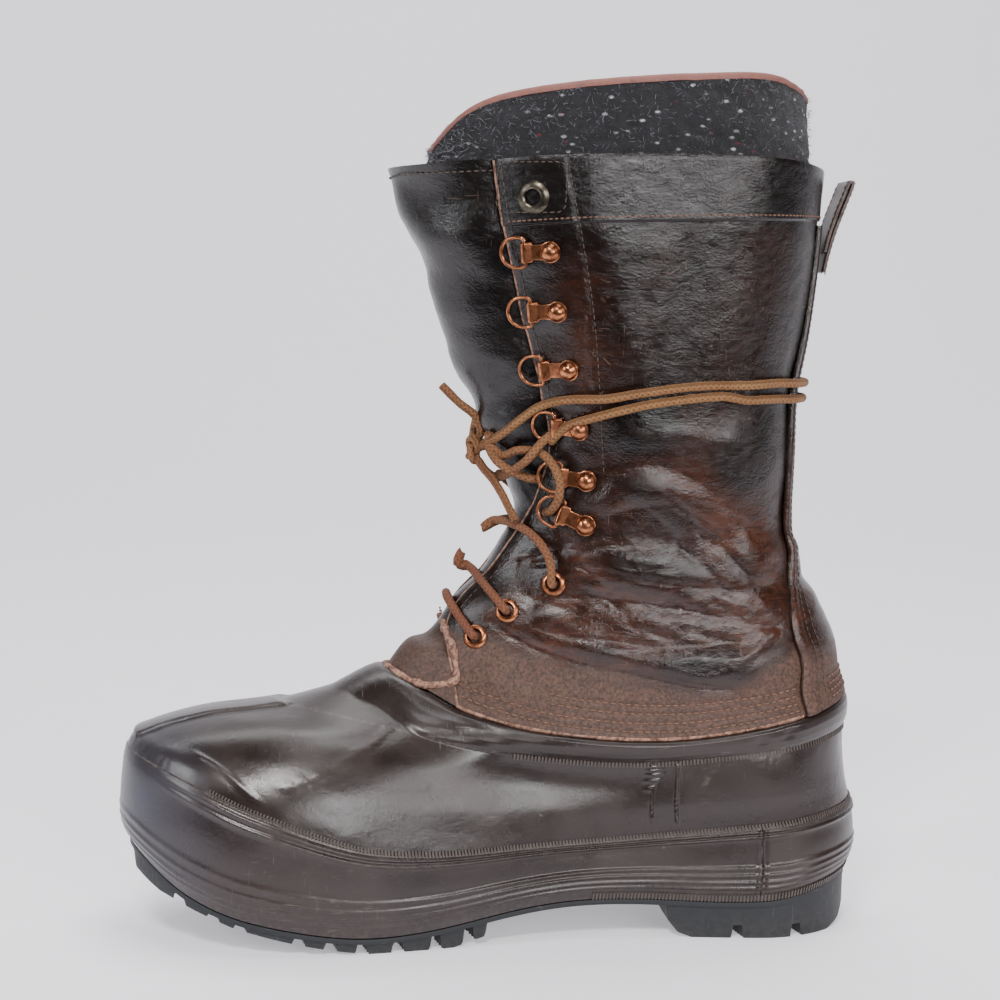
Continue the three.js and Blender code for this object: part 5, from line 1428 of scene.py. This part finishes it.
# How far inside the form the felt lies at each level.
LINER_INSETS = np.array([[0.5, 6.2], [1.2, 5], [4, 5], [5, 5.4], [6, 6.4], [8, 7.6], [12, 7.6], [13, 7.4],
                         [14, 7], [15, 6.8], [17, 6.6], [19, 6.6], [21, 6.2]])
# The binding's outline: share of the wall's half thickness from its middle, and height over its rim.
BINDING_PROFILE = [(1.12, -1.6), (1.17, -0.4), (1.05, 0.7), (0.6, 1.25), (0, 1.4), (-0.6, 1.25),
                   (-1.05, 0.7), (-1.17, -0.4), (-1.2, -9.5), (-0.95, -9.8), (-0.93, -0.3), (0.93, -0.3),
                   (0.98, -1.7)]
LINER_FORM = np.concatenate([FORM, LINER_TOP])
for section_name, (front, cap) in LINER_FRONTS.items():
    LINER_FORM[LEVEL[section_name], FRONT] = front
    LINER_FORM[LEVEL[section_name], CAP_FRONT] = cap


def liner_grid(levels, columns, wall):
    angle = np.linspace(0, 2 * math.pi, columns, endpoint=False)[None]
    level = levels[:, None] + 0 * angle
    inset = np.interp(level, LINER_INSETS[:, 0], LINER_INSETS[:, 1])
    base, normal = skin_on(LINER_FORM, level, angle + 0 * level)
    points = base - normal * (inset + wall)[..., None]
    floor = height_at(FORM[:1].repeat(columns, 0), points[0, :, 0]) - SOLE_DROP + FLOOR_RISE
    points[0, :, 2] = floor + wall
    return points, normal


def make_liner():
    levels = np.concatenate([[0.5, 1.2], np.arange(2, 17), np.linspace(17.4, 21, 76)])
    outer, normal = liner_grid(levels, 240, 0)
    shown = smooth_step(17.5, 18.5, levels)[:, None]
    lumps = 0.45 * noise(outer, 2.6, 91) + 0.5 * noise(outer, 7, 92)
    lumps = lumps + 0.9 * noise(outer, (40, 40, 22), 93)
    outer = outer + normal * (lumps * shown)[..., None]
    inner, in_normal = liner_grid(levels[::2], 120, FELT)
    inner = inner - in_normal * (0.4 * noise(inner, 5, 94) * shown[::2])[..., None]
    piece = make_wall("felt_liner", outer, inner, FELT_SKIN, None, 60, True, True)
    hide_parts("liner")
    make_binding(outer[-1], inner[-1])


def make_binding(outer, inner):
    """A thin strip folded over the liner's rim, deeper inside than outside."""
    count = len(outer)
    inner = np.stack([np.interp(np.arange(count), np.arange(0, count + 1, 2),
                                np.append(inner[:, k], inner[0, k])) for k in range(3)], -1)
    middle = (outer + inner) / 2
    outward = outer - inner
    outward[:, 2] = 0
    outward = unit(outward)
    half = np.linalg.norm((outer - inner)[:, :2], axis=1) / 2
    ring = [middle + outward * (half * a)[:, None] + np.array([0, 0, 1]) * up for a, up in BINDING_PROFILE]
    grid = np.stack(ring, 1)
    grid = grid + 0.18 * noise(grid, 6, 95)[..., None]
    faces = ring_faces(count, len(ring), joined=True)
    make_piece("liner_binding", grid.reshape(-1, 3), faces, BINDING, crease=60)


# Metal fittings
def frame_matrix(origin, x_axis, y_axis):
    """The axes and origin of a frame whose Y is given and whose X is turned square to it."""
    z = unit(np.cross(x_axis, y_axis))
    x = unit(np.cross(y_axis, z))
    return np.array([x, y_axis, z]), origin


def placed(points, basis_and_origin):
    basis, origin = basis_and_origin
    return np.asarray(points) @ basis + origin


def lathe(profile, segments=40):
    """A turned shape round Y from a closed profile of radius and height."""
    profile = np.asarray(profile, float)
    turn = np.linspace(0, 2 * math.pi, segments, endpoint=False)
    r, h = profile[:, 0], profile[:, 1]
    points = np.stack([r[None] * np.cos(turn)[:, None], h[None] + 0 * turn[:, None],
                       r[None] * np.sin(turn)[:, None]], -1)
    return points.reshape(-1, 3), ring_faces(segments, len(profile), joined=True)


def hook_frame(hook, sign):
    """The frame at a ring's bar: X forward along its clip, Y off the leather."""
    bar, rivet = hook
    (front, front_normal), (back, back_normal) = spot_on(*bar, sign), spot_on(*rivet, sign)
    normal = unit(front_normal + back_normal)
    middle = (front + back) / 2
    arm = front - back
    arm = arm - normal * np.dot(arm, normal)
    bulges = []
    for share in (-0.2, 0.2, 0.6, 1):
        x, z = (rivet[k] + (bar[k] - rivet[k]) * share for k in (0, 1))
        bulges.append(np.dot(spot_on(x, z, sign)[0] - middle, normal))
    origin = middle + arm / 2 + normal * (max(bulges) + EASE * 0.6 + CLIP_EYE)
    return frame_matrix(origin, unit(arm), normal), float(np.linalg.norm(arm))


EYELET_PROFILE = [(2.8, -2.0), (2.8, 0.9), (3.0, 1.35), (3.5, 1.6), (4.1, 1.5), (4.8, 1.05), (5.2, 0.45),
                  (5.1, 0.3), (3.5, 0.3), (3.5, -2.0)]
GROMMET_PROFILE = [(3.3, -3.0), (3.3, 0.9), (3.5, 1.45), (4.1, 1.8), (5.0, 1.6), (6.1, 1.1), (6.8, 0.5),
                   (6.7, 0.3), (4.1, 0.3), (4.1, -3.0)]
RIVET_PROFILE = [(0.02, -0.6), (3.7, -0.6), (3.95, -0.3), (3.85, 0.1), (3.45, 0.5), (3.2, 1.15),
                 (2.6, 1.85), (1.7, 2.3), (0.8, 2.5), (0.02, 2.55)]
RING_WIRE = 0.8
FREE_RINGS = 3
CLIP_WALL = 0.72
RIVET_HEAD = 4.4
RING_ROUTE = [(0, -4.6), (0, 0), (0, 4.6), (0.5, 5.7), (1.7, 6.2), (4.2, 6.2), (7.3, 5.37), (9.57, 3.1),
              (10.4, 0), (9.57, -3.1), (7.3, -5.37), (4.2, -6.2), (1.7, -6.2), (0.5, -5.7)]


def closed_loop(points, count):
    """A smooth closed route through drawn points."""
    points = np.asarray(points, float)
    wrapped = np.concatenate([points[-3:], points, points[:3]])
    at = np.linspace(3, 3 + len(points), count, endpoint=False)
    return section_at(wrapped, at)


def clip_shape(length):
    """A strap clip bent round a ring's bar, with its rivet; the bar is at the origin."""
    steps = [-4.3, -4.1, -3.6, -2.6, -1.2, 0, 1.6, 3.0]
    lower = [(-length + step, -1.5) for step in steps] + [(-3.2, -1.5), (-2.6, -1.5), (-1, -1.5)]
    turn = np.linspace(-math.pi / 2, math.pi * 0.62, 12)
    eye = [(1.5 * math.cos(a), 1.5 * math.sin(a)) for a in turn]
    upper = [(-2.4, -0.25), (-3.4, -0.72)] + [(-length + step, -0.75) for step in reversed(steps)]
    path = []
    for start, end in zip(lower[:-1], lower[1:]):
        path += [tuple(np.add(np.multiply(start, 1 - t), np.multiply(end, t))) for t in (0, 0.5)]
    path = np.array(path + eye + upper)
    along = path[:, 0]
    from_rivet = along + length
    disc = 2 * np.sqrt(np.maximum(RIVET_HEAD ** 2 - from_rivet ** 2, 0.6))
    neck = np.where(along > -2.7, 8.0, 6.0)
    width = np.where(from_rivet < 3.1, np.maximum(disc, np.where(from_rivet > 0, 6.0, 0)), neck)
    points, faces = ribbon(path, width, CLIP_WALL, power=8, sides=24)
    rivet, rivet_faces = lathe(RIVET_PROFILE, 32)
    rivet = rivet + np.array([-length, 0.15, 0])
    points, faces, _ = merge([(points, faces, {}), (rivet, rivet_faces, {})])
    return points, faces


def fit(name, replaced, shape, where, material, body=None, crease=35):
    """A metal fitting that takes the place of a node."""
    points, faces = shape
    piece = make_piece(name, placed(points, where), faces, material, body=body, crease=crease)
    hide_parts(replaced)


def make_fittings():
    forward = np.array([-1.0, 0, 0])
    route = closed_loop(RING_ROUTE, 72)
    wire = tube(np.stack([route[:, 0], 0 * route[:, 0], route[:, 1]], -1), RING_WIRE, 12, closed=True)[:2]
    for side, sign in SIDES.items():
        for name, (x, z) in EYELETS.items():
            place, normal = spot_on(x, z, sign)
            where = frame_matrix(place, forward, normal)
            fit(f"eyelet_ring_{name}_{side}", f"eyelet_{name}_{side}", lathe(EYELET_PROFILE), where, COPPER)
        place, normal = spot_on(*GROMMET, sign, CUFF_RISE)
        where = frame_matrix(place, forward, normal)
        fit(f"top_grommet_{side}", f"grommet_{side}", lathe(GROMMET_PROFILE), where, BRASS)
        for number, hook in enumerate(HOOKS, 1):
            where, length = hook_frame(hook, sign)
            end = f"{number}_{side}"
            fit(f"riveted_clip_{end}", f"clip_{end}", clip_shape(length), where, COPPER)
            body = f"ring_{end}" if number <= FREE_RINGS else ROOT
            fit(f"d_ring_{end}", f"ring_{end}", wire, where, COPPER, body, 60)


def paint_insole():
    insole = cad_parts["insole"]
    insole.data.materials.clear()
    insole.data.materials.append(FELT_SKIN)


# Rows of stitches and knurls
def build_row_tree():
    """A Geometry Nodes tree that repeats one small closed shape along a line of vertices."""
    tree = bpy.data.node_groups.new("repeat_along_line", "GeometryNodeTree")
    sockets = [("Geometry", "INPUT", "Geometry"), ("Pitch", "INPUT", "Float"), ("Length", "INPUT", "Float"),
               ("Width", "INPUT", "Float"), ("Height", "INPUT", "Float"), ("Rounded", "INPUT", "Bool"),
               ("Seed", "INPUT", "Int"), ("Skin", "INPUT", "Material"), ("Geometry", "OUTPUT", "Geometry")]
    for key, way, kind in sockets:
        tree.interface.new_socket(key, in_out=way, socket_type="NodeSocket" + kind)
    given = tree.nodes.new("NodeGroupInput").outputs
    leave = tree.nodes.new("NodeGroupOutput")

    def add(kind, inputs=None, output=0, **settings):
        return node(tree, kind, inputs, **settings).outputs[output]

    line = add("GeometryNodeMeshToCurve", {"Mesh": given["Geometry"]})
    even = add("GeometryNodeResampleCurve", {"Curve": line, "Length": given["Pitch"]}, mode="LENGTH")
    bead = add("GeometryNodeMeshUVSphere", {"Segments": 6, "Rings": 5, "Radius": 0.5})
    block = add("GeometryNodeMeshCube", {"Size": (1, 1, 1)})
    shape = add("GeometryNodeSwitch", {"Switch": given["Rounded"], "False": block, "True": bead},
                input_type="GEOMETRY")
    tangent = add("GeometryNodeInputTangent")
    outward = add("GeometryNodeInputNamedAttribute", {"Name": "face_out"}, data_type="FLOAT_VECTOR")
    turned = add("FunctionNodeAlignRotationToVector", {"Vector": tangent}, axis="X")
    turned = add("FunctionNodeAlignRotationToVector", {"Rotation": turned, "Vector": outward},
                 axis="Z", pivot_axis="X")
    vary = add("FunctionNodeRandomValue", {2: 0.88, 3: 1.1, "Seed": given["Seed"]}, 1, data_type="FLOAT")
    size = add("ShaderNodeCombineXYZ", {"X": times(tree, given["Length"], vary), "Y": given["Width"],
                                        "Z": given["Height"]})
    shapes = add("GeometryNodeInstanceOnPoints", {"Points": even, "Instance": shape, "Rotation": turned,
                                                  "Scale": size})
    solid = add("GeometryNodeRealizeInstances", {"Geometry": shapes})
    skinned = add("GeometryNodeSetMaterial", {"Geometry": solid, "Material": given["Skin"]})
    tree.links.new(skinned, leave.inputs[0])
    return tree


ROW_TREE = build_row_tree()


def add_rows(name, lines, pitch, size, skin, rounded=True, seed=1):
    """Small shapes along lines, each line a pair of points and normals in millimetres."""
    points, edges, outs, start = [], [], [], 0
    for line, out in lines:
        points.append(line)
        outs.append(out)
        edges += [(start + k, start + k + 1) for k in range(len(line) - 1)]
        start += len(line)
    mesh = bpy.data.meshes.new(name + "_lines")
    mesh.from_pydata((np.concatenate(points) * MM).tolist(), edges, [])
    layer = mesh.attributes.new("face_out", "FLOAT_VECTOR", "POINT")
    layer.data.foreach_set("vector", np.concatenate(outs).astype(np.float32).ravel())
    guide = into_scene(name + "_lines", mesh)
    repeat = guide.modifiers.new("repeat", "NODES")
    repeat.node_group = ROW_TREE
    values = {"Pitch": pitch * MM, "Length": size[0] * MM, "Width": size[1] * MM, "Height": size[2] * MM,
              "Rounded": rounded, "Seed": seed, "Skin": skin}
    for item in ROW_TREE.interface.items_tree:
        if item.name in values and item.in_out == "INPUT":
            repeat[item.identifier] = values[item.name]
    guide.update_tag()
    ready = guide.evaluated_get(bpy.context.evaluated_depsgraph_get())
    made = bpy.data.meshes.new_from_object(ready)
    made.name = name
    guide.modifiers.remove(repeat)
    bpy.data.objects.remove(guide)
    made.materials.clear()
    made.materials.append(skin)
    made.polygons.foreach_set("material_index", [0] * len(made.polygons))
    made.polygons.foreach_set("use_smooth", [rounded] * len(made.polygons))
    piece = into_scene(name, made)
    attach(piece, ROOT)


def side_line(route, sign, extra=0.25, count=90):
    """A line drawn from the side, laid on the finished leather of one side."""
    drawn = smooth_line(route, count)
    level = level_of(drawn[:, 0], drawn[:, 1])
    angle = angle_at(FORM, level, drawn[:, 0]) * sign
    return leather_at(level, angle, extra)


def square_route(x0, x1, z0, z1, corner):
    """A stitched rectangle with round corners."""
    route = []
    for cx, cz, start in ((x1 - corner, z1 - corner, 0), (x0 + corner, z1 - corner, 1),
                          (x0 + corner, z0 + corner, 2), (x1 - corner, z0 + corner, 3)):
        for k in range(5):
            turn = math.pi / 2 * (start + k / 4)
            route.append((cx + corner * math.cos(turn), cz + corner * math.sin(turn)))
    return route + route[:1]


def hem_front(level, sign, inset):
    """The angle a little behind the quarter's front edge."""
    edge = section_at(FORM, np.asarray(level, float))[..., EDGE]
    return angle_at(FORM, level, edge + inset) * sign


# The torn edge at the vamp's corner, and where stitches run on the backstay and the pull loop, as
# shares of their half-widths.
VAMP_CORNER = [(-163.5, 112.6), (-155.0, 108.6), (-146.7, 106.6), (-139.6, 107.1), (-134.4, 110.4),
               (-134.2, 118.7), (-137.6, 127.0), (-139.2, 133.0)]
RAW_FOOT = 6.1
STAY_STITCHES = (0.82, 0.72)
LOOP_STITCHES = 0.86


def shaft_stitches(sign):
    """Stitch lines of one side of the shaft: along the hem, by the facing, and under the cuff."""
    hem = []
    for row, level in enumerate(HEM_ROWS):
        front = hem_front(level, sign, 3.5 if row < 2 else 42)
        half = float(stay_half(np.array([level]))[0])
        back = float(stay_angle(np.array([level]), half + 1.5, sign)[0])
        hem.append(leather_at(level, np.linspace(float(front), back, 160), 0.3))
    levels = even_levels(7.4, 18.9, 150)
    facing = [leather_at(levels, hem_front(levels, sign, 3.2), 0.2),
              side_line([(x + 1.2, z) for z, x in FACING[:-1]], sign, 0.2),
              side_line([(-77, 232), (-80, 226), (-86, 222.5), (-92, 221)], sign, 0.2, 24),
              side_line(square_route(-121, -95, 305.5, 325.5, 3.5), sign, 0.2, 90)]
    hem.append(side_line([(x - 0.5, z + 3.4) for x, z in VAMP_CORNER[1:]], sign, 0.3, 40))
    angles = np.linspace(float(hem_front(CUFF + 0.12, sign, 3.2)), 0.0, 130)
    seam = leather_at(CUFF + 0.08, angles, 0.2)
    for share in STAY_STITCHES:
        skin, normal, _, _ = stay_skin(even_levels(6.15, 17.8, 190), np.array([share * -sign]), 0.1)
        facing.append((skin[:, 0], normal[:, 0]))
    return hem, facing, seam


def loop_stitches():
    """Stitch lines along both edges of both faces of the pull loop."""
    lines = []
    heading = unit(np.gradient(LOOP_PATH, axis=0))
    out = np.stack([-heading[:, 1], heading[:, 0]], -1)
    for face in (1, -1):
        path = LOOP_PATH + out * (LOOP_WALL / 2) * face
        line = np.stack([path[:, 0], np.full(len(path), LOOP_WIDTH / 2 * LOOP_STITCHES), path[:, 1]], -1)
        normal = np.stack([out[:, 0] * face, np.zeros(len(path)), out[:, 1] * face], -1)
        lines += [(line, normal), (line * np.array([1, -1, 1]), normal)]
    return lines


def sew():
    rust, facing, seam = [], [], []
    for sign in SIDES.values():
        hem, behind_rings, under_cuff = shaft_stitches(sign)
        rust += hem
        facing += behind_rings
        seam.append(under_cuff)
    for level in HEM_ROWS:
        skin, normal, _, _ = stay_skin(np.array([level]), np.linspace(-0.62, 0.62, 50), 0.3)
        rust.append((skin[0], normal[0]))
    rim, rim_out = TONGUE_SKIN[-4], TONGUE_OUT[-4]
    add_rows("rust_stitches", rust, 3.3, (2.7, 0.85, 0.8), THREAD, seed=3)
    add_rows("tongue_stitches", [(rim + rim_out * 0.35, rim_out)], 3.0, (2.4, 0.8, 0.7), DARK_THREAD, seed=4)
    add_rows("facing_stitches", facing + loop_stitches(), 2.9, (2.5, 0.6, 0.5), DARK_THREAD, seed=6)
    add_rows("cuff_stitches", seam, 2.3, (1.9, 0.75, 0.7), THREAD, seed=8)


def knurl():
    """The moulded teeth along the band line, under the collar roll and along the lower edge."""
    band = []
    edges = []
    for sign in (1, -1):
        for level, out in ((1.965, 0.15), (2.02, 0.0)):
            angle = np.linspace(float(angle_at(FORM, level, -236)), 0, 330) * sign
            base, normal = skin_on(FORM, level, angle)
            band.append((base + normal * out, normal))
        for level, out, front, back in ((4.93, 0.1, -110, 44), (0.2, 0.05, -75, 44)):
            section = section_at(FORM, np.array(level))
            ends = [float(angle_at(FORM, level, x)) for x in (front, min(back, section[BACK] - 0.01))]
            base, normal = skin_on(FORM, level, np.linspace(ends[0], ends[1], 240) * sign)
            edges.append((base + normal * out, normal))
    add_rows("band_teeth", band, 1.45, (0.8, 1.7, 1.1), RUBBER_TEETH, rounded=False, seed=5)
    add_rows("edge_teeth", edges, 1.5, (0.8, 3.4, 0.7), RUBBER_TEETH, rounded=False, seed=9)


def raw_edges():
    """The cut edges of the leather: along the hem, up the quarters, and torn at the vamp's corner."""
    parts = []
    for sign in SIDES.values():
        half = float(stay_half(np.array([RAW_FOOT]))[0])
        back = float(stay_angle(np.array([RAW_FOOT]), half + 0.5, sign)[0])
        angles = np.linspace(float(hem_front(RAW_FOOT, sign, 0.4)), back, 150)
        line, _ = leather_at(RAW_FOOT - 0.01, angles, -0.7)
        parts.append(tube(line, 0.95 + 0.2 * noise(line, 5, 101), 8))
        levels = even_levels(RAW_FOOT, 18.97, 170)
        line, _ = leather_at(levels, hem_front(levels, sign, 0.35), -0.75)
        parts.append(tube(line, 0.8 + 0.15 * noise(line, 6, 102), 8))
        line, _ = side_line(VAMP_CORNER, sign, 0.15, 120)
        wander = np.stack([noise(line, 5, 104), 0 * line[:, 0], noise(line, 4, 105)], axis=1)
        parts.append(tube(line + 0.8 * wander, 1.6 + 0.75 * noise(line, 2.2, 103), 12))
    points, faces, _ = merge(parts)
    make_piece("raw_leather_edges", points, faces, RAW_EDGE, crease=60)


FIBRES = 2600
FIBRE_RADIUS = 0.075


def fluff():
    """Loose fibres over the felt that stands above the cuff."""
    chance = np.random.default_rng(7)
    levels = 18.2 + 2.7 * chance.random(FIBRES) ** 0.85
    angles = chance.uniform(0, 2 * math.pi, FIBRES)
    base, normal = skin_on(LINER_FORM, levels, angles)
    inset = np.interp(levels, LINER_INSETS[:, 0], LINER_INSETS[:, 1])
    start = base - normal * (inset - 0.2)[:, None]
    lean = unit(normal * chance.uniform(0.25, 1.0, (FIBRES, 1)) + chance.normal(0, 0.75, (FIBRES, 3)))
    long = chance.uniform(1.2, 3.6, FIBRES)
    bend = chance.normal(0, 0.8, (FIBRES, 3))
    points, faces = [], []
    for k in range(FIBRES):
        middle = start[k] + lean[k] * long[k] * 0.55
        tip = start[k] + lean[k] * long[k] + bend[k]
        side = unit(np.cross(lean[k], [0.3, 0.2, 0.9])) * FIBRE_RADIUS
        other = unit(np.cross(lean[k], side)) * FIBRE_RADIUS
        first = len(points)
        for at in (start[k], middle):
            points += [at + side, at - side * 0.6 + other, at - side * 0.6 - other]
        points.append(tip)
        faces.append((first, first + 1, first + 2))
        for j in range(3):
            n = (j + 1) % 3
            faces.append((first + j, first + n, first + 3 + n, first + 3 + j))
            faces.append((first + 3 + j, first + 3 + n, first + 6))
    make_piece("felt_fibres", np.array(points), faces, FUZZ, crease=80)


make_shell()
make_sole()
make_shaft()
make_tongue()
make_backstay()
make_loop()
make_liner()
make_fittings()
paint_insole()
sew()
knurl()
raw_edges()
fluff()

# Backdrop and light
def backdrop():
    """A pale sheet that runs back from under the boot and curves up behind it."""
    bend = [(1.5 + 1.1 * math.sin(a), 1.1 - 1.1 * math.cos(a)) for a in np.linspace(0, math.pi / 2, 24)]
    profile = [(-0.32, 0)] + bend + [(2.6, 6.0)]
    points = [(x, y, z) for y, z in profile for x in (-7, 7)]
    faces = [(2 * k, 2 * k + 1, 2 * k + 3, 2 * k + 2) for k in range(len(profile) - 1)]
    mesh = bpy.data.meshes.new("backdrop")
    mesh.from_pydata(points, [], faces)
    mesh.polygons.foreach_set("use_smooth", [True] * len(faces))
    made = into_scene("backdrop", mesh)
    skin = bpy.data.materials.new("pale_sheet")
    skin.use_nodes = True
    shader = skin.node_tree.nodes["Principled BSDF"]
    shader.inputs["Base Color"].default_value = (0.80, 0.785, 0.83, 1)
    shader.inputs["Roughness"].default_value = 0.8
    shader.inputs["Specular IOR Level"].default_value = 0.2
    shader.inputs["Emission Color"].default_value = (0.97, 0.96, 1.0, 1)
    shader.inputs["Emission Strength"].default_value = 0.42
    mesh.materials.append(skin)


def lamp(name, place, aim, size, watts, colour=(1, 1, 1)):
    data = bpy.data.lights.new(name, "AREA")
    data.shape = "RECTANGLE"
    data.size, data.size_y = size
    data.energy = watts
    data.color = colour
    made = into_scene(name, data)
    made.location = place
    made.rotation_euler = (Vector(place) - Vector(aim)).to_track_quat("Z", "Y").to_euler()


backdrop()
lamp("window", (-0.45, -1.15, 1.2), (-0.1, 0, 0.15), (0.34, 0.26), 18, (1.0, 0.975, 0.96))
lamp("front", (0.25, -1.3, 0.42), (-0.08, 0, 0.15), (0.5, 0.3), 8, (1.0, 0.99, 1.0))
lamp("ceiling", (0.1, 0.0, 1.7), (-0.1, 0, 0.15), (1.0, 0.7), 15)
lamp("toe side", (-1.25, -0.55, 0.6), (-0.1, 0, 0.15), (0.2, 0.6), 7, (0.92, 0.95, 1.0))
lamp("heel side", (0.85, -1.05, 0.55), (-0.05, 0, 0.1), (0.3, 0.6), 8, (1.0, 0.95, 0.96))
lamp("sheet", (0.0, 1.0, 2.6), (0.0, 2.3, 0.6), (3.0, 1.0), 60)
world = bpy.data.worlds.new("studio")
world.use_nodes = True
sky = world.node_tree.nodes["Background"].inputs
sky["Color"].default_value = (0.80, 0.80, 0.85, 1)
sky["Strength"].default_value = 0.08
bpy.context.scene.world = world
